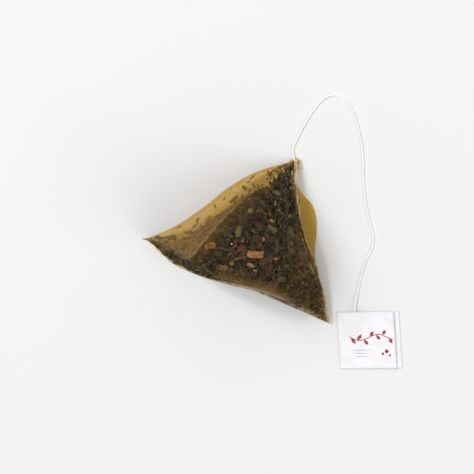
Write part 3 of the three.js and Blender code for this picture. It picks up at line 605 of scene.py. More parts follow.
def paint(face, s, t, points):
    """The film's stain, haze, silt and painted shade, cling and crease at each point, from 0 to 1."""
    from_first, from_second = from_folds(face, s, t)
    cloud = 0.5 + 0.5 * wave(points, 6 * MM, 3)
    stain, haze, silt, cling = (value + 0 * s for value in FILM_LOOKS[face])
    if face == "far":
        # Towards the front fold the far film darkens in clouds: painted shade of the leaves behind it.
        shade = grows(s, 0.35, 0.5)
        by_tip = np.clip(1 - t / 0.4, 0, 1) * (1 - s)
        haze = (haze + 0.1 * cloud) * (1 - 0.7 * by_tip)
        silt = silt + 0.6 * shade * cloud * (1 - by_tip)
    if face == "ground":
        rolled = grows(t, 0.5, 0.25)
        on_leaf = np.clip(2 - from_first / (3 * MM), 0, 1) * (1 - rolled)
        rim = hill(from_first, 0, 1.8 * MM)
        # On the rolled bulge the film has less haze and less stain below. This is painted light that
        # lifts the bulge out of the bag's shadow.
        haze = haze * (1 - on_leaf) * (1 - 0.85 * rolled) + 0.5 * rim * (1 - rolled)
        silt = silt + on_leaf + rim
        cling = cling + on_leaf
        stain = stain - 0.15 * rolled
    if face == "front":
        strip = hill(from_first, 0, 3 * MM) * fades(t, 0.85, 0.15)
        low_strip = hill(from_second, 0, 2.4 * MM) * grows(t, 0.15, 0.1) * fades(t, 0.75, 0.15)
        haze = haze + 0.12 * strip + 0.22 * low_strip
        stain = stain + 0.5 * strip + 0.4 * low_strip
        silt = silt - 0.4 * low_strip
        by_seal = grows(t, 0.62, 0.25) * grows(s, 0.25, 0.4)
        haze = haze + 0.12 * by_seal * cloud
        stain = stain + 0.4 * by_seal
        cling = cling - 0.6 * strip - 0.3 * by_seal - 0.4 * low_strip
    if face == "lower":
        rim = hill(from_second, 0, 1.8 * MM)
        at_ends = fades(t, 0.5, 0.12) + grows(t, 0.7, 0.1)
        haze = haze + rim * (0.25 + 0.6 * at_ends)
        silt = silt + hill(from_second, 0, 3 * MM)
        band = hill(from_first, 3.6 * MM, 3.6 * MM) * grows(t, 0.22, 0.12) * fades(t, 0.84, 0.14)
        haze = haze + 0.58 * band * (0.6 + 0.4 * cloud)
        stain = stain + 0.5 * band
        silt = silt - 0.4 * band
        cling = cling - 0.5 * band
    first, second = (FOLD_WHITENING[fold] for fold in FACES[face][:2])
    crease = first * hill(from_first, 0, 0.22 * MM) + second * hill(from_second, 0, 0.22 * MM)
    crease = crease * near_ends(t, 0.05)
    shares = {"stain": stain, "haze": haze, "silt": silt, "cling": cling, "crease": crease}
    return {name: np.clip(share, 0, 1) for name, share in shares.items()}


def plain_mesh(name, points, faces, finish):
    """An object in the scene from points, faces and a material, with smooth shading."""
    data = bpy.data.meshes.new(name)
    data.from_pydata([tuple(p) for p in points], [], [tuple(f) for f in faces])
    if finish:
        data.materials.append(finish)
    made = bpy.data.objects.new(name, data)
    bpy.context.scene.collection.objects.link(made)
    data.shade_smooth()
    return made


def mark_points(made, name, values):
    """Gives each point of a mesh one number under a name."""
    attribute = made.data.attributes.new(name, "FLOAT", "POINT")
    attribute.data.foreach_set("value", np.asarray(values, np.float32))


def applied(made):
    """The object with its modifiers made plain mesh."""
    graph = bpy.context.evaluated_depsgraph_get()
    data = bpy.data.meshes.new_from_object(made.evaluated_get(graph))
    made.modifiers.clear()
    old = made.data
    made.data = data
    if isinstance(old, bpy.types.Mesh):
        bpy.data.meshes.remove(old)
    data.name = made.name
    return made


def faced_out(data):
    """Turns the faces of a closed mesh outwards."""
    work = bmesh.new()
    work.from_mesh(data)
    bmesh.ops.recalc_face_normals(work, faces=work.faces)
    work.to_mesh(data)
    work.free()


def tube_faces(rows, sides):
    """Faces of a closed tube of rings, with a cap at each end."""
    faces = [(row * sides + a, row * sides + (a + 1) % sides, (row + 1) * sides + (a + 1) % sides,
              (row + 1) * sides + a) for row in range(rows) for a in range(sides)]
    return faces + [tuple(reversed(range(sides))), tuple(rows * sides + a for a in range(sides))]


def finished(made, slot, *nodes):
    """Rides on the one body and stands for the nodes. Its slot is not used."""
    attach(made, BODY)
    if nodes:
        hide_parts(*nodes)
    return made


def film_points(face, s, t):
    """Points of the slack film, and of the smooth form under them."""
    smooth = sheet_points(face, s, t)
    lifted = smooth + sheet_normals(face, s, t) * slack(face, s, t, smooth)[..., None]
    sway = np.stack([wave(smooth, 11 * MM, seed) for seed in (11, 12, 13)], -1)
    lifted += 0.22 * MM * sway * near_ends(t, 0.05)[..., None]
    lifted[..., 2] = np.maximum(lifted[..., 2], LEAST_HEIGHT)
    return lifted, smooth


def make_film():
    """The four faces of the pouch as one closed tube of film, its ends flattened shut."""
    cells, rows = 52, 104
    even = np.linspace(0, 1, rows + 1)
    eased = 0.7 * even + 0.3 * (1 - np.cos(np.pi * even)) / 2
    quarter = STRIP_WIDTH / 4
    points, strips, paints = [], [], {}
    for index, face in enumerate(FACES):
        s, t = np.meshgrid(np.linspace(0, 1, cells + 1), eased)
        lifted, smooth = film_points(face, s, t)
        points.append(lifted.reshape(-1, 3))
        start, finish = (quarter * at for at in (t, 2 - t, 2 + t, 4 - t, 4 + t)[index:index + 2])
        u = (start + (finish - start) * s) / (5 * quarter)
        strips.append(np.stack([u, t], -1).reshape(-1, 2))
        for name, values in paint(face, s, t, smooth).items():
            paints.setdefault(name, []).append(values.reshape(-1))
    points, strips = np.concatenate(points), np.concatenate(strips)
    faces = []
    side = (rows + 1) * (cells + 1)
    for index in range(4):
        for row in range(rows):
            for cell in range(cells):
                a = index * side + row * (cells + 1) + cell
                faces.append((a, a + 1, a + cells + 2, a + cells + 1))
    film = plain_mesh(FILM_NAME, points, faces, film_material())
    layer = film.data.uv_layers.new(name="strip")
    corners = np.array([loop.vertex_index for loop in film.data.loops])
    layer.data.foreach_set("uv", strips[corners].astype(np.float32).reshape(-1))
    for name, values in paints.items():
        mark_points(film, name, np.concatenate(values))
    work = bmesh.new()
    work.from_mesh(film.data)
    bmesh.ops.remove_doubles(work, verts=work.verts, dist=0.02 * MM)
    bmesh.ops.dissolve_degenerate(work, edges=work.edges, dist=0.002 * MM)
    bmesh.ops.recalc_face_normals(work, faces=work.faces)
    work.to_mesh(film.data)
    work.free()
    film.data.shade_smooth()
    wall = film.modifiers.new("wall", "SOLIDIFY")
    wall.thickness = sizes().film_thickness
    wall.offset = -1
    return applied(film)


def smooth_route(points, steps):
    """A centripetal curve through the points, as many short steps to each stretch."""
    pts = [Vector(p) for p in points]
    pts = [pts[0] * 2 - pts[1], *pts, pts[-1] * 2 - pts[-2]]
    route = []
    for a, b, c, d in zip(pts, pts[1:], pts[2:], pts[3:]):
        t1 = (b - a).length ** 0.5
        t2 = t1 + (c - b).length ** 0.5
        t3 = t2 + (d - c).length ** 0.5
        for step in range(steps):
            t = t1 + (t2 - t1) * step / steps
            p1 = a * ((t1 - t) / t1) + b * (t / t1)
            p2 = b * ((t2 - t) / (t2 - t1)) + c * ((t - t1) / (t2 - t1))
            p3 = c * ((t3 - t) / (t3 - t2)) + d * ((t - t2) / (t3 - t2))
            q1 = p1 * ((t2 - t) / t2) + p2 * (t / t2)
            q2 = p2 * ((t3 - t) / (t3 - t1)) + p3 * ((t - t1) / (t3 - t1))
            route.append(q1 * ((t2 - t) / (t2 - t1)) + q2 * ((t - t1) / (t2 - t1)))
    route.append(pts[-2])
    return route


def with_tree(made, tree, **values):
    """Puts a Geometry Nodes tree on an object, with its inputs by their plain names."""
    modifier = made.modifiers.new(tree.name, "NODES")
    modifier.node_group = tree
    named = {item.name: item.identifier for item in tree.interface.items_tree
             if item.in_out == "INPUT"}
    for label, value in values.items():
        modifier[named[label.replace("_", " ")]] = value
    return made


def leaned(graph, spots, low, high, seed):
    """The rotation of each spot, leaned at random between two turns."""
    lean = graph.add("FunctionNodeRandomValue", {"data_type": "FLOAT_VECTOR"}, {
        0: low, 1: high, "Seed": seed})
    turn = graph.add("FunctionNodeEulerToRotation", None, {0: lean.outputs[0]})
    return graph.add("FunctionNodeRotateRotation", {"rotation_space": "LOCAL"}, {
        0: spots.outputs["Rotation"], 1: turn.outputs[0]}).outputs[0]


def closed_tree(graph, given, out, geometry):
    """Ends a tree with real geometry in its material."""
    real = graph.add("GeometryNodeRealizeInstances", None, {0: geometry})
    dressed = graph.add("GeometryNodeSetMaterial", None, {
        "Geometry": real.outputs[0], "Material": given["Material"]})
    graph.feed(out["Geometry"], dressed.outputs[0])
    return graph.tree


def twist_tree():
    """Two plies twisted round a curve, with loose fibres on them."""
    graph, given, out = geometry_tree("twisted thread", [
        ("Diameter", "NodeSocketFloat", 0.6 * MM), ("Twist Length", "NodeSocketFloat", 1.9 * MM),
        ("Fibres", "NodeSocketFloat", 4.0), ("Seed", "NodeSocketInt", 4),
        ("Material", "NodeSocketMaterial", None)])
    line = graph.add("GeometryNodeResampleCurve", {"mode": "LENGTH"}, {
        "Curve": given["Geometry"], "Length": graph.math("DIVIDE", given["Twist Length"], 11.0)})
    length = graph.add("GeometryNodeSplineParameter").outputs["Length"]
    turn = graph.times(graph.math("DIVIDE", length, given["Twist Length"]), 2 * math.pi)
    normal = graph.add("GeometryNodeInputNormal").outputs[0]
    tangent = graph.add("GeometryNodeInputTangent").outputs[0]
    side = graph.vector("CROSS_PRODUCT", tangent, normal)
    plies = []
    for phase in (0.0, math.pi):
        angle = graph.plus(turn, phase)
        out_by = graph.times(given["Diameter"], 0.215)
        offset = graph.vector(
            "ADD",
            graph.vector("SCALE", normal, scale=graph.times(graph.math("COSINE", angle), out_by)),
            graph.vector("SCALE", side, scale=graph.times(graph.math("SINE", angle), out_by)))
        moved = graph.add("GeometryNodeSetPosition", None, {
            "Geometry": line.outputs[0], "Offset": offset})
        ring = graph.add("GeometryNodeCurvePrimitiveCircle", None, {
            "Resolution": 7, "Radius": graph.times(given["Diameter"], 0.275)})
        ply = graph.add("GeometryNodeCurveToMesh", None, {
            "Curve": moved.outputs[0], "Profile Curve": ring.outputs[0], "Fill Caps": True})
        plies.append(ply.outputs[0])
    both = graph.add("GeometryNodeJoinGeometry")
    for ply in plies:
        graph.tree.links.new(ply, both.inputs[0])
    spots = graph.add("GeometryNodeDistributePointsOnFaces", None, {
        "Mesh": both.outputs[0], "Density": graph.times(given["Fibres"], PER_SQUARE_MM),
        "Seed": given["Seed"]})
    fibre = graph.add("GeometryNodeMeshCone", None, {
        "Vertices": 3, "Radius Top": 0.006 * MM, "Radius Bottom": 0.012 * MM, "Depth": 0.5 * MM})
    turned = leaned(graph, spots, (-1.3, -1.3, -3.1), (1.3, 1.3, 3.1), given["Seed"])
    hairs = graph.add("GeometryNodeInstanceOnPoints", None, {
        "Points": spots.outputs["Points"], "Instance": fibre.outputs[0], "Rotation": turned})
    whole = graph.add("GeometryNodeJoinGeometry")
    for part in (hairs, both):
        graph.tree.links.new(part.outputs[0], whole.inputs[0])
    return closed_tree(graph, given, out, whole.outputs[0])


def thread_material():
    """White cotton with stained fibres."""
    made, graph, shader = material("cotton thread")
    place = object_place(graph)
    fibre = graph.noise(place, 5200.0, 4.0, 0.65)
    stain = graph.noise(place, 90.0, 2.0)
    stained = graph.times(graph.ranged(fibre, 0.5, 0.7), graph.ranged(stain, 0.3, 0.7, 0.4, 0.8))
    tone = graph.between(stained, colour("thread"), dimmed("thread", 0.93, 0.92, 0.9))
    graph.feed(shader.inputs["Base Color"], tone)
    graph.feed(shader.inputs["Roughness"], graph.ranged(fibre, 0.3, 0.7, 0.75, 0.95))
    shader.inputs["Sheen Weight"].default_value = 0.3
    grain(graph, shader, fibre, 0.4, 0.05 * MM)
    return made


def curve_object(name, points):
    """A curve object of straight steps through the points."""
    data = bpy.data.curves.new(name, "CURVE")
    data.dimensions = "3D"
    spline = data.splines.new("POLY")
    spline.points.add(len(points) - 1)
    for place, point in zip(spline.points, points):
        place.co = (*point, 1)
    made = bpy.data.objects.new(name, data)
    bpy.context.scene.collection.objects.link(made)
    return made


def mesh_from_curve(made):
    """A new mesh object from an object whose nodes turn its curve into a mesh."""
    graph = bpy.context.evaluated_depsgraph_get()
    data = bpy.data.meshes.new_from_object(made.evaluated_get(graph))
    name = made.name
    bpy.data.objects.remove(made)
    plain = bpy.data.objects.new(name, data)
    bpy.context.scene.collection.objects.link(plain)
    data.shade_smooth()
    return plain


def make_thread():
    """The thread on its route, as two twisted plies. Gives the piece and its centreline."""
    given = sizes()
    places = [Vector((SEAL_X + x * MM, y * MM, z * MM)) for x, y, z in THREAD_ROUTE]
    route = smooth_route(places, 14)
    line = curve_object("cotton_thread", route)
    with_tree(line, twist_tree(), Diameter=given.thread_diameter, Twist_Length=given.twist_length,
              Material=thread_material())
    thread = mesh_from_curve(line)
    for vertex in thread.data.vertices:
        vertex.co.z = max(vertex.co.z, 0)
    return thread, route


def motif(graph, place):
    """Masks of the tag's print: a vine of seven leaves, three buds and thin lines. Millimetres."""
    parts = graph.split(place)
    x, y = parts[0], parts[1]

    def oval(cx, cy, turn, long, wide):
        dx = graph.minus(x, cx)
        dy = graph.minus(y, cy)
        c, s = math.cos(math.radians(turn)), math.sin(math.radians(turn))
        a = graph.plus(graph.times(dx, c), graph.times(dy, s))
        b = graph.minus(graph.times(dy, c), graph.times(dx, s))
        a2 = graph.math("POWER", graph.size_of(graph.math("DIVIDE", a, long)), 1.5)
        b2 = graph.size_of(graph.math("DIVIDE", b, wide))
        return graph.ranged(graph.plus(a2, b2), 0.94, 1.06, 1.0, 0.0)

    stalk = graph.plus(graph.times(graph.math("SINE", graph.times(x, 0.55)), 0.9), 1.0)
    off_stalk = graph.size_of(graph.minus(y, stalk))
    off_middle = graph.size_of(graph.minus(x, 0.6))
    red = graph.times(graph.ranged(off_stalk, 0.1, 0.2, 1.0, 0.0),
                      graph.ranged(off_middle, 6.9, 7.1, 1.0, 0.0))
    for leaf in range(7):
        along = -5.6 + 2.0 * leaf
        up = 1 if leaf % 2 else -1
        rise = 1.0 + 0.9 * math.sin(0.55 * along)
        shape = oval(along + 0.5, rise + up * 0.95, up * 52, 1.25 - 0.06 * leaf, 0.55)
        red = graph.math("MAXIMUM", red, shape)
    for bud in ((5.4, -3.6, 0.75), (4.1, -4.4, 0.5), (6.3, -4.9, 0.42)):
        red = graph.math("MAXIMUM", red, oval(bud[0], bud[1], 0, bud[2], bud[2]))
    grey = oval(-2.6, -3.2, 0, 3.6, 0.12)
    for line in (oval(-3.2, -4.2, 0, 3.0, 0.12), oval(-2.9, -5.2, 0, 2.4, 0.12)):
        grey = graph.math("MAXIMUM", grey, line)
    return red, grey


def paper_material():
    """White paper with a fine tooth, and the print on the upper leaf's top."""
    made, graph, shader = material("tag paper")
    place = graph.add("ShaderNodeUVMap", {"uv_map": "leaf"}).outputs[0]
    red, grey = motif(graph, graph.vector("SCALE", place, scale=1000.0))
    on_top = graph.attribute("printed")
    fibre = graph.noise(object_place(graph), 2600.0, 5.0, 0.7)
    cloudy = graph.noise(object_place(graph), 260.0, 3.0)
    dull = dimmed("paper", 0.93, 0.93, 0.92)
    tone = graph.between(graph.ranged(cloudy, 0.35, 0.65), dull, colour("paper"))
    ink = graph.ranged(fibre, 0.2, 0.55, 0.78, 1.0)
    for mask, shade in ((grey, "print_grey"), (red, "print_red")):
        share = graph.times(graph.times(mask, on_top), ink)
        tone = graph.between(share, tone, colour(shade))
    graph.feed(shader.inputs["Base Color"], tone)
    graph.feed(shader.inputs["Roughness"], graph.ranged(fibre, 0.3, 0.7, 0.62, 0.86))
    grain(graph, shader, fibre, 0.25, 0.04 * MM)
    return made


def make_tag():
    """The tag: one sheet folded at its left edge, the thread's end between its two leaves."""
    given = sizes()
    low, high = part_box("tag")
    turn = given.tag_turn
    half_w, half_h = given.tag_width / 2, given.tag_height / 2
    centre = Vector(((low.x + high.x) / 2, (low.y + high.y) / 2, 0))
    thick = given.paper_thickness
    thread_x = -0.22 * given.tag_width
    thread_end = half_h - 8.5 * MM
    step, fold = 1.7 * MM, 0.9 * MM
    rows = 40

    def leaf_gap(x, y):
        rest = 0.28 * MM
        over = given.thread_diameter + 0.35 * MM
        along = min(max((y - thread_end + 5 * MM) / (5 * MM), 0), 1)
        along = along * along * (3 - 2 * along)
        curl = 0.9 * MM * max((x - half_w * 0.25) / half_w, 0) ** 2 * (0.55 + 0.45 * y / half_h)
        return rest + (over - rest) * math.exp(-(((x - thread_x) / (2 * MM)) ** 2)) * along + curl

    def section(y):
        """Middle line of the paper at one height, from the under leaf's edge round to the upper's."""
        line = []
        under = np.linspace(half_w, -half_w + fold, 34)
        line += [(x, thick / 2 + 0.02 * MM, 0.0) for x in under]
        start = leaf_gap(-half_w + fold, y) + thick
        for angle in np.linspace(90, 270, 9)[1:-1]:
            turned = math.radians(angle)
            line.append((-half_w + fold + fold * math.cos(turned),
                         thick / 2 + start / 2 - start / 2 * math.sin(turned), 0.0))
        upper = np.linspace(-half_w + fold, half_w - step, 36)
        line += [(x, thick * 1.5 + leaf_gap(x, y), 1.0) for x in upper]
        return line

    grid = [[(x, y, z, mark) for x, z, mark in section(y)] for y in np.linspace(-half_h, half_h, rows)]
    columns = len(grid[0])
    spin = Matrix.Rotation(turn, 4, "Z")
    places, flats, marks = [], [], []
    for line in grid:
        for x, y, z, mark in line:
            places.append(spin @ Vector((x, y, z)) + centre)
            flats.append((x, y))
            marks.append(mark)
    faces = []
    for row in range(rows - 1):
        for column in range(columns - 1):
            a = row * columns + column
            faces.append((a, a + columns, a + columns + 1, a + 1))
    tag = plain_mesh("paper_tag", places, faces, paper_material())
    layer = tag.data.uv_layers.new(name="leaf")
    for loop, uv in zip(tag.data.loops, layer.data):
        uv.uv = flats[loop.vertex_index]
    mark_points(tag, "printed", marks)
    wall = tag.modifiers.new("paper", "SOLIDIFY")
    wall.thickness = thick
    wall.offset = 0
    return applied(tag)


def seal_path(edge, count, seed, lean):
    """Places along a seal, and for each the directions outwards and through the fin."""
    t = np.linspace(0, 1, count)
    root = on_edge(edge, t)
    along = np.gradient(root, axis=0)
    along /= np.linalg.norm(along, axis=1, keepdims=True)
    out = np.tile(np.array(lean, float), (count, 1))
    out -= along * (out * along).sum(1, keepdims=True)
    out /= np.linalg.norm(out, axis=1, keepdims=True)
    through = np.cross(along, out)
    slow, quick = wave(root, 9 * MM, seed), wave(root, 3 * MM, seed + 1)
    twist = np.radians(24) * slow + np.radians(18) * quick
    turned = out * np.cos(twist)[:, None] + through * np.sin(twist)[:, None]
    return root, turned, np.cross(along, turned)


def fin_mesh(name, edge, seed, lean, width_share, finish):
    """A welded fin along a seal: a thin strip that kinks and twists, with rolled edges."""
    given = sizes()
    count = 150
    root, out, through = seal_path(edge, count, seed, lean)
    width = width_share * given.fin_width * (0.95 + 0.3 * wave(root, 4 * MM, seed + 2))
    thick = given.fin_thickness / 2
    section = [(-0.5, -1), (0.25, -1.1), (0.7, -0.8), (0.96, -0.9), (1.03, 0), (0.96, 0.9),
               (0.7, 0.8), (0.25, 1.1), (-0.5, 1)]
    points = []
    for index in range(count):
        ripple = 0.12 * MM * math.sin(index * 1.9 + seed)
        for reach, side in section:
            place = root[index] + out[index] * width[index] * reach
            place = place + through[index] * (side * thick + ripple * max(reach, 0))
            place[2] = max(place[2], LEAST_HEIGHT)
            points.append(place)
    fin = plain_mesh(name, points, tube_faces(count - 1, len(section)), finish)
    faced_out(fin.data)
    return fin


def make_lap_seam(finish):
    """The tube's lap seam: a band of doubled film down the middle of the lower face."""
    given = sizes()
    rows, columns = 90, 8
    t = np.linspace(0.03, 0.96, rows + 1)[:, None] + np.zeros(columns + 1)
    side = np.linspace(-1, 1, columns + 1) + np.zeros((rows + 1, 1))
    s = 0.5 + side * np.minimum(given.seam_width / 2 / face_width("lower", t), 0.3)
    place = film_points("lower", s, t)[0]
    out = sheet_normals("lower", s, t)
    top = place + out * (0.02 * MM + given.seam_height * (1 - side ** 4))[..., None]
    under = place - out * 0.04 * MM
    points, faces = grid_shell(list(top.reshape(-1, 3)), list(under.reshape(-1, 3)), rows, columns)
    seam = plain_mesh("lap_seam", points, faces, finish)
    faced_out(seam.data)
    return seam


def make_tab(finish):
    """The welded tab at the thread tip: a flat patch whose slot holds the thread's end."""
    given = sizes()
    wide, long, slot = given.tab_width / 2, given.tab_length, given.thread_diameter * 0.6
    end = THREAD_TIP[1] + 0.5 * MM
    outline = [(-wide, end - long), (wide, end - long), (wide, end), (slot, end),
               (slot, end - 1.5 * MM), (-slot, end - 1.5 * MM), (-slot, end), (-wide, end)]
    thick = given.fin_thickness / 2
    points = [(THREAD_TIP[0] + x, y, THREAD_TIP[2] + z) for z in (-thick, thick) for x, y in outline]
    count = len(outline)
    faces = [(a, (a + 1) % count, count + (a + 1) % count, count + a) for a in range(count)]
    faces += [tuple(reversed(range(count))), tuple(range(count, 2 * count))]
    tab = plain_mesh("thread_tab", points, faces, finish)
    edge = tab.modifiers.new("edge", "BEVEL")
    edge.width = 0.09 * MM
    edge.segments = 3
    faced_out(applied(tab).data)
    return tab


def seal_material(name, light, dark, cover=(0.72, 0.95)):
    """Two layers of film melted together: blotchy and half clear."""
    made, graph, shader = material(name)
    mottle = blotched(graph, shader, 500.0, light, dark, (0.25, 0.5))
    graph.feed(shader.inputs["Base Color"], mottle["Colour"])
    graph.feed(shader.inputs["Alpha"], graph.ranged(mottle["Height"], 0.3, 0.7, *cover))
    grain(graph, shader, mottle["Height"], 0.5, 0.12 * MM)
    return made


def bed_mesh():
    """The bed of wet tea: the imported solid's form, made fine, with furrows between clumps."""
    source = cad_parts["leaf_bed"]
    work = bmesh.new()
    work.from_mesh(source.data)
    bmesh.ops.remove_doubles(work, verts=work.verts, dist=0.001 * MM)
    data = bpy.data.meshes.new("leaf_clumps")
    work.to_mesh(data)
    work.free()
    data.materials.clear()
    data.materials.append(mottled(
        "wet tea", colour("leaf_brown"), colour("leaf_black"), 520.0, (0.2, 0.5), 0.8))
    bed = bpy.data.objects.new("leaf_clumps", data)
    bpy.context.scene.collection.objects.link(bed)
    remesh = bed.modifiers.new("fine", "REMESH")
    remesh.mode = "VOXEL"
    remesh.voxel_size = 0.62 * MM
    applied(bed)
    soft = bed.modifiers.new("soft", "SMOOTH")
    soft.iterations = 4
    applied(bed)
    lump = sizes().bed_lump
    for vertex in bed.data.vertices:
        near, next_near = noise.voronoi(vertex.co / (3.1 * MM))[0][:2]
        furrow = max(0.0, 1 - (next_near - near) / 0.3)
        rough = noise.noise(vertex.co / (0.9 * MM))
        vertex.co -= vertex.normal * (lump * furrow - 0.18 * MM * rough)
    bed.data.shade_smooth()
    return bed


def crumb_shape(name, points, faces):
    """An object to strew, which is not in the scene itself."""
    data = bpy.data.meshes.new(name)
    data.from_pydata(points, [], faces)
    faced_out(data)
    return bpy.data.objects.new(name, data)


def flake(name, seed, length, width, thick, rows):
    """A low flake of leaf, curled and torn, along x."""
    rng = np.random.default_rng(seed)
    across = 2
    top = []
    for row in range(rows + 1):
        share = row / rows
        blunt = 0.35 + 0.65 * math.sin(math.pi * (0.12 + 0.76 * share))
        spread = width * blunt * rng.uniform(0.7, 1.1)
        for column in range(across + 1):
            side = column / across - 0.5
            x = (share - 0.5) * length + rng.uniform(-0.08, 0.08) * length
            y = side * spread
            curl = 0.55 * width * (side * side * 2 - 0.3) * rng.uniform(0.6, 1.3)
            bend = 0.12 * length * math.sin(share * 3.4 + seed)
            top.append((x, y, curl + bend))
    under = [(x, y, z - thick) for x, y, z in top]
    return crumb_shape(name, *grid_shell(top, under, rows, across))


def twig(name, seed, length, thick):
    """A low rolled leaf or twig, bent, along x."""
    rng = np.random.default_rng(seed)
    rows, sides = 4, 5
    points = []
    for row in range(rows + 1):
        share = row / rows
        blunt = 0.55 + 0.45 * math.sin(math.pi * (0.15 + 0.7 * share))
        radius = thick / 2 * blunt * rng.uniform(0.8, 1.2)
        bend = 0.14 * length * math.sin(share * 2.8 + seed)
        for side in range(sides):
            turn = 2 * math.pi * side / sides + share * 1.2
            y = radius * math.cos(turn) + bend
            points.append(((share - 0.5) * length, y, radius * math.sin(turn)))
    return crumb_shape(name, points, tube_faces(rows, sides))


def crumb_tree():
    """Strews the crumbs of a collection over a surface, lying nearly flat on it."""
    graph, given, out = geometry_tree("strewn crumbs", [
        ("Crumbs", "NodeSocketCollection", None), ("Cover", "NodeSocketFloat", 0.6),
        ("Tilt", "NodeSocketFloat", 0.45), ("Least Size", "NodeSocketFloat", 0.45),
        ("Greatest Size", "NodeSocketFloat", 1.35), ("Depth", "NodeSocketFloat", 0.1 * MM),
        ("Seed", "NodeSocketInt", 11), ("Material", "NodeSocketMaterial", None)])
    cover = graph.add("GeometryNodeInputNamedAttribute", {"data_type": "FLOAT"}, {"Name": "cover"})
    spots = graph.add("GeometryNodeDistributePointsOnFaces", None, {
        "Mesh": given["Geometry"], "Seed": given["Seed"],
        "Density": graph.times(graph.times(given["Cover"], PER_SQUARE_MM), cover.outputs[0])})
    choices = graph.add("GeometryNodeCollectionInfo", None, {
        "Collection": given["Crumbs"], "Separate Children": True, "Reset Children": True})
    tilt = given["Tilt"]
    low = graph.add("ShaderNodeCombineXYZ", None, {
        0: graph.times(tilt, -1.0), 1: graph.times(tilt, -1.0), 2: -math.pi})
    high = graph.add("ShaderNodeCombineXYZ", None, {0: tilt, 1: tilt, 2: math.pi})
    turned = leaned(graph, spots, low.outputs[0], high.outputs[0], given["Seed"])
    scale = graph.add("FunctionNodeRandomValue", {"data_type": "FLOAT"}, {
        2: given["Least Size"], 3: given["Greatest Size"],
        "Seed": graph.plus(given["Seed"], 5.0)})
    sunk = graph.vector("SCALE", spots.outputs["Normal"], scale=graph.times(given["Depth"], -1.0))
    placed = graph.add("GeometryNodeSetPosition", None, {
        "Geometry": spots.outputs["Points"], "Offset": sunk})
    strewn = graph.add("GeometryNodeInstanceOnPoints", None, {
        "Points": placed.outputs[0], "Instance": choices.outputs[0], "Pick Instance": True,
        "Rotation": turned, "Scale": scale.outputs[1]})
    tone = graph.add("FunctionNodeRandomValue", {"data_type": "FLOAT"}, {
        "Seed": graph.plus(given["Seed"], 9.0)})
    toned = graph.add("GeometryNodeStoreNamedAttribute", {"data_type": "FLOAT", "domain": "INSTANCE"}, {
        "Geometry": strewn.outputs[0], "Name": "tone", "Value": tone.outputs[1]})
    return closed_tree(graph, given, out, toned.outputs[0])


def crumb_material():
    """Wet crumbs whose colour follows their tone, from black through brown and olive to rust."""
    made, graph, shader = material("wet crumbs")
    black, brown, olive, plum, green, peel = (
        colour(n) for n in ("leaf_black", "leaf_brown", "leaf_olive", "leaf_plum", "leaf_green", "peel"))
    tone = graph.ramp(graph.attribute("tone"), [
        (0.0, black), (0.56, black), (0.68, brown), (0.75, plum), (0.81, olive), (0.88, brown),
        (0.93, green), (0.965, green), (0.985, peel)])
    mottle = blotched(graph, shader, 1300.0, WHITE, (0.4, 0.36, 0.32, 1), (0.2, 0.55))
    graph.feed(shader.inputs["Base Color"], graph.tinted(tone, mottle["Colour"]))
    grain(graph, shader, mottle["Height"], 0.6, 0.2 * MM)
    shader.inputs["Specular IOR Level"].default_value = WET_SPECULAR
    shader.inputs["Coat Weight"].default_value = 0.35
    shader.inputs["Coat Roughness"].default_value = 0.08
    return made


def kept_inside(made, depth):
    """Moves what pokes out of the pouch to just under its film."""
    film = bpy.data.objects[FILM_NAME].data
    outer = [tuple(side.vertices) for side in film.polygons[:len(film.polygons) // 2]]
    tree = BVHTree.FromPolygons([v.co for v in film.vertices], outer)
    for vertex in made.data.vertices:
        place, normal, _, _ = tree.find_nearest(vertex.co)
        above = (vertex.co - place).dot(normal) + depth
        if 0 < above < 4 * MM:
            vertex.co -= normal * above


def leaf_cover(face, s, t):
    """Where wet crumbs cling to the film, from 0 to 1. The bag's far corner is empty."""
    from_first, from_second = from_folds(face, s, t)
    if face == "front":
        ends = np.clip(np.maximum(0.42 - s, s - 0.68) / 0.08, 0, 1)
        by_seal = grows(t, 0.74, 0.1) * (1 - ends)
        low_strip = np.clip((2.6 * MM - from_second) / MM, 0, 0.7) * hill(t, 0.45, 0.25)
        in_chord = np.clip((from_first - 4 * MM * np.sin(np.pi * t) * (1 - t ** 3)) / MM, 0.04, 1)
        in_tips = 1 + 2.4 * grows(t, 0.7, 0.1) * ends
        return in_chord * (1 - 0.85 * by_seal) * (1 - low_strip) * in_tips
    if face == "lower":
        lens = fades(t, 0.4, 0.08)
        beyond = np.clip((from_first - 6 * MM) / (2 * MM), 0.12, 1)
        return np.maximum(lens, beyond)
    if face == "ground":
        reach = (5 + 4 * grows(t, 0.3, 0.2)) * MM
        return np.clip((reach - from_first) / (2 * MM), 0.02, 1) * fades(t, 0.93, 0.1)
    in_tip = 2 * grows(t, 0.84, 0.06) * grows(s, 0.25, 0.25)
    by_fold = np.clip((3 * MM - from_second) / (4 * MM), 0.01, 0.5) * np.clip(t / 0.2, 0, 1)
    return np.maximum(by_fold, in_tip)


def clear_of_pieces(places):
    """0 for places beside a larger piece, which stays in sight, and 1 for the others."""
    clear = np.ones(places.shape[:-1])
    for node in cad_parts:
        if node.rpartition("_")[0] in LOOSE_KINDS:
            centre, axes, size = lie_of(node)
            from_piece = np.abs((places - centre) @ axes.T) - size / 2
            clear[(from_piece[..., 0] < 0.5 * MM) & (from_piece[..., 1] < 0.5 * MM)
                  & (from_piece[..., 2] < 1.5 * MM)] = 0
    return clear


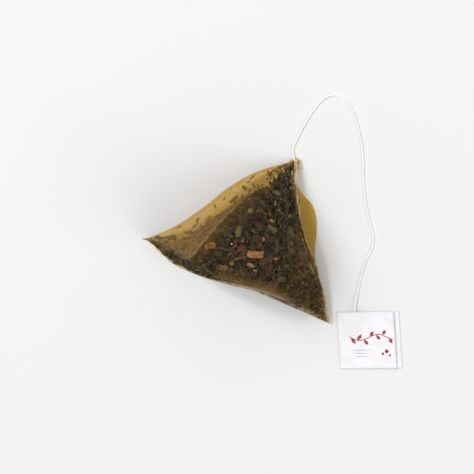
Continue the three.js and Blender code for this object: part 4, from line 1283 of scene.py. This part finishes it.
def under_film(depth):
    """A sheet just under the film, its points marked with the cover of crumbs."""
    cells, rows = 72, 80
    points, cover, faces = [], [], []
    for index, face in enumerate(FACES):
        s, t = np.meshgrid(np.linspace(0.01, 0.99, cells + 1), np.linspace(0.02, 0.985, rows + 1))
        place = sheet_points(face, s, t) - sheet_normals(face, s, t) * depth
        place[..., 2] = np.maximum(place[..., 2], depth)
        points.append(place.reshape(-1, 3))
        cover.append((leaf_cover(face, s, t) * clear_of_pieces(place)).reshape(-1))
        base = index * (rows + 1) * (cells + 1)
        corner = np.arange(rows)[:, None] * (cells + 1) + np.arange(cells) + base
        sides = np.stack([corner, corner + 1, corner + cells + 2, corner + cells + 1], -1)
        flip = np.cross(place[5, 6] - place[5, 5], place[6, 5] - place[5, 5]) @ FACES[face][2] < 0
        faces += [tuple(side[::-1] if flip else side) for side in sides.reshape(-1, 4).tolist()]
    sheet = plain_mesh("clinging_crumbs", np.concatenate(points), faces, None)
    mark_points(sheet, "cover", np.concatenate(cover))
    return sheet


def make_crumbs(bed):
    """Crumbs strewn over a copy of the bed, and crumbs that cling to the film."""
    given = sizes()
    length = given.crumb_length
    shapes = [flake("crumb_a", 1, length, length * 0.75, 0.14 * MM, 3),
              flake("crumb_b", 2, length * 0.75, length * 0.7, 0.16 * MM, 2),
              flake("crumb_c", 3, length * 1.3, length * 0.5, 0.14 * MM, 3),
              flake("crumb_d", 4, length * 0.5, length * 0.42, 0.2 * MM, 2),
              twig("crumb_e", 5, length * 1.15, 0.5 * MM), twig("crumb_f", 6, length * 0.7, 0.6 * MM)]
    store = bpy.data.collections.new("crumbs")
    for shape in shapes:
        store.objects.link(shape)
    crumbs = bpy.data.objects.new("leaf_crumbs", bed.data.copy())
    bpy.context.scene.collection.objects.link(crumbs)
    mark_points(crumbs, "cover", np.ones(len(crumbs.data.vertices)))
    clinging = under_film(0.6 * MM)
    tree, finish = crumb_tree(), crumb_material()
    with_tree(crumbs, tree, Crumbs=store, Cover=given.crumb_cover, Tilt=0.7, Material=finish)
    with_tree(clinging, tree, Crumbs=store, Cover=given.clinging_cover, Tilt=0.35, Seed=23,
              Material=finish)
    for strewn in (crumbs, clinging):
        applied(strewn)
    with bpy.context.temp_override(active_object=crumbs, selected_editable_objects=[crumbs, clinging]):
        bpy.ops.object.join()
    kept_inside(crumbs, 0.16 * MM)
    for shape in shapes:
        bpy.data.objects.remove(shape)
    bpy.data.collections.remove(store)
    return crumbs


def lie_of(node):
    """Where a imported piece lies: its middle, its long, wide and outward directions, its size."""
    co = np.array([v.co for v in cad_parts[node].data.vertices], float)
    co = np.unique(np.round(co, 7), axis=0)
    centre = (co.max(0) + co.min(0)) / 2
    _, axes = np.linalg.eigh(np.cov((co - co.mean(0)).T))
    out, wide, long = axes[:, 0], axes[:, 1], axes[:, 2]
    if out @ (centre - MIDDLE) < 0:
        out = -out
    wide = np.cross(out, long)
    places = (co - centre) @ np.stack([long, wide, out], 1)
    size = places.max(0) - places.min(0)
    centre = centre + np.stack([long, wide, out], 1) @ ((places.max(0) + places.min(0)) / 2)
    return centre, np.stack([long, wide, out]), size


def leaf_form(size, seed, jag, crinkle):
    """A torn piece of leaf: pointed outline, midrib, side veins, curled edges. Closed."""
    rng = np.random.default_rng(seed)
    length, width, thick = size
    rows, columns = 18, 10
    phase = rng.uniform(0, 6, 3)
    sheet = min(thick * 0.45, 0.3 * MM)
    top, under = [], []
    for row in range(rows + 1):
        x = row / rows
        spread = math.sin(math.pi * x ** 0.8) ** 0.7
        for column in range(columns + 1):
            y = column / columns * 2 - 1
            torn = 1 + jag * (math.sin(9 * x + phase[0]) * 0.5 + 0.5 * math.sin(23 * x + phase[1]))
            px = (x - 0.5) * length
            py = y * spread * width / 2 * torn
            rib = math.exp(-((y / 0.12) ** 2)) * 0.5
            vein = 0.22 * math.cos((x * 7 - abs(y) * 2.2) * 2 * math.pi)
            vein *= (1 - abs(y)) * min(abs(y) * 3, 1)
            wave_up = crinkle * math.sin(5 * x + 3 * y + phase[2])
            curl = -(y * y) * 0.55
            pz = thick * 0.5 * (0.4 + rib + vein * 0.4 + wave_up * 0.6 + curl * 0.8)
            taper = 1 if 0 < row < rows and 0 < column < columns else 0.25
            top.append((px, py, pz))
            under.append((px, py, pz - sheet * taper))
    return grid_shell(top, under, rows, columns)


def grid_shell(top, under, rows, columns):
    """Points and faces of a closed shell from two like grids."""
    wide = columns + 1
    base = len(top)
    faces = []
    for row in range(rows):
        for column in range(columns):
            a = row * wide + column
            faces.append((a, a + 1, a + wide + 1, a + wide))
            faces.append(tuple(base + i for i in (a, a + wide, a + wide + 1, a + 1)))
    rim = list(range(columns)) + [columns + r * wide for r in range(rows)]
    rim += [rows * wide + columns - c for c in range(columns)] + [(rows - r) * wide for r in range(rows)]
    for a, b in zip(rim, rim[1:] + rim[:1]):
        faces.append((b, a, base + a, base + b))
    return top + under, faces


def chip_form(size, seed):
    """A cut chip of peel: blunt corners, dimpled rind above and a hollowed pith below."""
    rng = np.random.default_rng(seed)
    length, width, thick = size
    rows, columns = 22, 14
    skew = rng.uniform(-0.5, 0.5, 4)
    top, under = [], []
    for row in range(rows + 1):
        u = row / rows * 2 - 1
        for column in range(columns + 1):
            v = column / columns * 2 - 1
            ragged = 0.24 * noise.noise(Vector((u * 1.7, v * 1.7, seed * 5.0)))
            blunt = 1 - 0.2 * (abs(u) * abs(v)) ** 3 + ragged
            px = length / 2 * u * blunt * (1 + 0.12 * skew[0] * v)
            py = width / 2 * v * blunt * (1 + 0.3 * skew[1] * u) + 0.12 * width * skew[2] * u * u
            edge = max(abs(u) ** 6, abs(v) ** 6)
            dimple = noise.noise(Vector((px, py, seed * 0.01)) / (0.55 * MM)) * 0.07
            px_curl = -0.12 * u * u
            top.append((px, py, thick * (0.5 - 0.3 * edge + px_curl + dimple)))
            under.append((px, py, thick * (-0.38 + 0.26 * edge + px_curl - dimple)))
    return grid_shell(top, under, rows, columns)


def stick_form(size, seed):
    """A stalk: ribbed, slightly bent, with a node and broken ends."""
    rng = np.random.default_rng(seed)
    length, width, _ = size
    rows, sides = 20, 12
    node_at = rng.uniform(0.3, 0.7)
    points = []
    for row in range(rows + 1):
        x = row / rows
        swell_by = 1 + 0.28 * math.exp(-(((x - node_at) / 0.05) ** 2)) - 0.12 * x
        end = 0.75 if row in (0, rows) else 1
        for side in range(sides):
            turn = 2 * math.pi * side / sides
            ridge = 1 + 0.09 * math.cos(4 * turn + seed)
            radius = 0.42 * width * swell_by * ridge * end
            broken = 0.05 * length * math.sin(3 * turn + seed) if row in (0, rows) else 0
            points.append(((x - 0.5) * length * 0.97 + broken * (1 if row else -1) * 0.3,
                           radius * math.cos(turn) + 0.1 * width * math.sin(x * 5 + seed),
                           radius * math.sin(turn)))
    return points, tube_faces(rows, sides)


def berry_form(size, seed):
    """A wrinkled round seed with a dimple."""
    work = bmesh.new()
    bmesh.ops.create_icosphere(work, subdivisions=4, radius=0.5)
    points = []
    for vertex in work.verts:
        p = vertex.co.copy()
        crease = abs(noise.noise(p * 5 + Vector((seed, 0, 0))))
        dent = math.exp(-((p - Vector((0, 0, 0.5))).length / 0.2) ** 2)
        p *= 1 - 0.1 * (1 - min(crease * 6, 1)) - 0.16 * dent
        points.append((p.x * size[0], p.y * size[1], p.z * size[2]))
    work.verts.index_update()
    faces = [tuple(v.index for v in face.verts) for face in work.faces]
    work.free()
    return points, faces


def peel_material():
    """Orange rind above, pale pith below: the outward side is marked on the points."""
    made, graph, shader = material("wet peel")
    mottle = blotched(graph, shader, 700.0, colour("peel"), dimmed("peel", 0.5, 0.38, 0.3), (0.2, 0.5))
    pale = graph.between(graph.attribute("upper"), colour("pith"), mottle["Colour"])
    # Painted shade: the peel is darker by the depth each piece carries.
    graph.feed(shader.inputs["Base Color"], painted_depth_shade(graph, pale))
    pores = graph.add("ShaderNodeTexVoronoi", None, {
        "Vector": object_place(graph), "Scale": 2400.0}).outputs[0]
    grain(graph, shader, graph.plus(pores, mottle["Height"]), 0.4, 0.12 * MM)
    return made


def loose_piece(kind, finish):
    """All the larger pieces of one kind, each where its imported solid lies, as one mesh."""
    forms = {
        "peel_chip": chip_form,
        "green_leaf": lambda size, seed: leaf_form(size, seed, 0.1, 0.35),
        "dark_leaf": lambda size, seed: leaf_form(size, seed, 0.16, 0.5),
        "petal": lambda size, seed: leaf_form(size, seed, 0.06, 0.9),
        "stem": stick_form,
        "berry": berry_form,
    }
    nodes = sorted(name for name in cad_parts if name.rpartition("_")[0] == kind)
    points, faces, upper, depth = [], [], [], []
    rng = np.random.default_rng(len(kind))
    for seed, node in enumerate(nodes, 1):
        centre, axes, size = lie_of(node)
        shape, sides = forms[kind](size, seed)
        base = len(points)
        shape = np.array(shape)
        points += list(centre + shape @ axes)
        upper += list(np.clip(shape[:, 2] / size[2] + 0.5, 0, 1))
        # Each piece but the first gets a random depth, which paints shade on it.
        depth += [rng.uniform(0.1, 0.9) if seed > 1 else 0.1] * len(shape)
        faces += [tuple(base + i for i in side) for side in sides]
    made = plain_mesh(LOOSE_KINDS[kind], points, faces, finish)
    mark_points(made, "upper", upper)
    mark_points(made, "depth", depth)
    faced_out(made.data)
    return made, nodes


def floor_material():
    """A plain matt floor."""
    made, _, shader = material("pale floor")
    shader.inputs["Base Color"].default_value = colour("floor")
    shader.inputs["Roughness"].default_value = 0.9
    shader.inputs["Specular IOR Level"].default_value = 0.1
    return made


def lamp(name, place, size, power):
    """An area lamp that points at the origin."""
    data = bpy.data.lights.new(name, "AREA")
    data.size = size
    data.energy = power
    made = bpy.data.objects.new(name, data)
    made.location = place
    made.rotation_euler = (-Vector(place)).to_track_quat("-Z", "Y").to_euler()
    bpy.context.scene.collection.objects.link(made)


class TEABAG_OT_camera(bpy.types.Operator):
    """Places the camera above the bag"""

    bl_idname = "tea_bag.camera"
    bl_label = "Camera"

    def execute(self, context):
        given = sizes()
        azimuth, elevation, roll = given.camera_azimuth, given.camera_elevation, given.camera_roll
        towards = Vector((math.sin(azimuth) * math.cos(elevation),
                          -math.cos(azimuth) * math.cos(elevation), math.sin(elevation)))
        level = Vector((math.cos(azimuth), math.sin(azimuth), 0))
        upright = towards.cross(level)
        right = level * math.cos(roll) + upright * math.sin(roll)
        up = upright * math.cos(roll) - level * math.sin(roll)
        data = bpy.data.cameras.new("camera")
        data.lens = given.lens
        data.clip_start = 0.01
        camera = bpy.data.objects.new("camera", data)
        turn = Matrix((right, up, towards)).transposed().to_4x4()
        camera.matrix_world = Matrix.Translation(CAMERA_AIM + towards * given.camera_distance) @ turn
        context.scene.collection.objects.link(camera)
        context.scene.camera = camera
        return {"FINISHED"}


class TEABAG_OT_thread(bpy.types.Operator):
    """Makes the thread, and the tag on its end"""

    bl_idname = "tea_bag.thread"
    bl_label = "Thread and Tag"

    def execute(self, context):
        thread, route = make_thread()
        tag = make_tag()
        finished(thread, "thread", "thread")
        finished(tag, "tag_paper", "tag")
        return {"FINISHED"}


class TEABAG_OT_film(bpy.types.Operator):
    """Makes the pouch's mesh film"""

    bl_idname = "tea_bag.film"
    bl_label = "Mesh Film"

    def execute(self, context):
        film = finished(make_film(), "mesh", "mesh_pouch")
        return {"FINISHED"}


class TEABAG_OT_seals(bpy.types.Operator):
    """Makes the welded fins of the two seals, the lap seam and the thread's tab"""

    bl_idname = "tea_bag.seals"
    bl_label = "Seals"

    def execute(self, context):
        pale = seal_material("pale seal", colour("seal"), colour("film_crease"))
        stained = seal_material("stained seal", colour("film_crease"), colour("film_silt_and_shade"), (0.3, 0.6))
        dark = seal_material("dark seal", colour("film_silt_and_shade"), colour("leaf_black"), (0.25, 0.5))
        far_out = on_edge("far_seal", np.array([0.5]))[0] - MIDDLE
        finished(fin_mesh("thread_seal", "thread_seal", 21, (0.8, 0, 0.6), 1, pale), "mesh")
        finished(fin_mesh("far_seal", "far_seal", 31, tuple(far_out), 0.55, dark), "mesh")
        finished(make_lap_seam(stained), "mesh")
        finished(make_tab(pale), "mesh")
        return {"FINISHED"}


class TEABAG_OT_tea(bpy.types.Operator):
    """Makes the bed of wet tea and the crumbs on it"""

    bl_idname = "tea_bag.tea"
    bl_label = "Tea Bed and Crumbs"

    def execute(self, context):
        bed = bed_mesh()
        crumbs = make_crumbs(bed)
        finished(bed, "tea_leaf", "leaf_bed")
        finished(crumbs, "tea_leaf")
        return {"FINISHED"}


class TEABAG_OT_pieces(bpy.types.Operator):
    """Makes the larger leaves, peel, petals, stalks and seeds"""

    bl_idname = "tea_bag.pieces"
    bl_label = "Larger Pieces"

    def execute(self, context):
        olive, brown = colour("leaf_olive"), colour("leaf_brown")
        finishes = {
            "peel_chip": peel_material(),
            "green_leaf": mottled("wet green leaf", colour("leaf_green"), olive, 800.0),
            "dark_leaf": mottled("wet dark leaf", brown, colour("leaf_black"), 700.0),
            "petal": mottled("wet petal", colour("petal"), dimmed("petal", 0.5, 0.5, 0.5), 600.0),
            "stem": mottled("wet stem", colour("stem"), brown, 900.0),
            "berry": mottled("wet berry", colour("berry"), olive, 1100.0),
        }
        slots = {"peel_chip": "peel", "dark_leaf": "tea_leaf"}
        for kind in LOOSE_KINDS:
            made, nodes = loose_piece(kind, finishes[kind])
            finished(made, slots.get(kind, kind), *nodes)
        return {"FINISHED"}


class TEABAG_OT_stage(bpy.types.Operator):
    """Makes the pale floor, the lamps and the world"""

    bl_idname = "tea_bag.stage"
    bl_label = "Stage"

    def execute(self, context):
        corners = [(x * FLOOR_REACH, y * FLOOR_REACH, 0) for x, y in ((-1, -1), (1, -1), (1, 1), (-1, 1))]
        floor = plain_mesh("floor", corners, [(0, 1, 2, 3)], floor_material())
        for name, (place, size, power) in LAMPS.items():
            lamp(name, place, size, power)
        world = bpy.data.worlds.new("soft light")
        world.use_nodes = True
        back = world.node_tree.nodes["Background"]
        back.inputs["Color"].default_value = WHITE
        back.inputs["Strength"].default_value = WORLD_STRENGTH
        context.scene.world = world
        context.scene.view_settings.view_transform = "Standard"
        return {"FINISHED"}


STEPS = (TEABAG_OT_camera, TEABAG_OT_thread, TEABAG_OT_film, TEABAG_OT_seals, TEABAG_OT_tea,
         TEABAG_OT_pieces, TEABAG_OT_stage)


class TEABAG_PT_panel(bpy.types.Panel):
    """Lists the steps that make the tea bag, and its sizes and colours"""

    bl_idname = "TEABAG_PT_panel"
    bl_label = "Tea Bag"
    bl_space_type = "VIEW_3D"
    bl_region_type = "UI"
    bl_category = "Tea Bag"

    def draw(self, context):
        for step in STEPS:
            self.layout.operator(step.bl_idname)
        for group in (context.scene.tea_bag_sizes, context.scene.tea_bag_colours):
            for name in group.__annotations__:
                self.layout.prop(group, name)


CLASSES = (TeaBagSizes, TeaBagColours, *STEPS, TEABAG_PT_panel)


def register():
    for made in CLASSES:
        bpy.utils.register_class(made)
    bpy.types.Scene.tea_bag_sizes = bpy.props.PointerProperty(type=TeaBagSizes)
    bpy.types.Scene.tea_bag_colours = bpy.props.PointerProperty(type=TeaBagColours)


def unregister():
    del bpy.types.Scene.tea_bag_colours
    del bpy.types.Scene.tea_bag_sizes
    for made in reversed(CLASSES):
        bpy.utils.unregister_class(made)


def main():
    register()
    bpy.ops.tea_bag.camera()
    bpy.ops.tea_bag.thread()
    bpy.ops.tea_bag.film()
    bpy.ops.tea_bag.seals()
    bpy.ops.tea_bag.tea()
    bpy.ops.tea_bag.pieces()
    bpy.ops.tea_bag.stage()


if __name__ == "__main__":
    main()
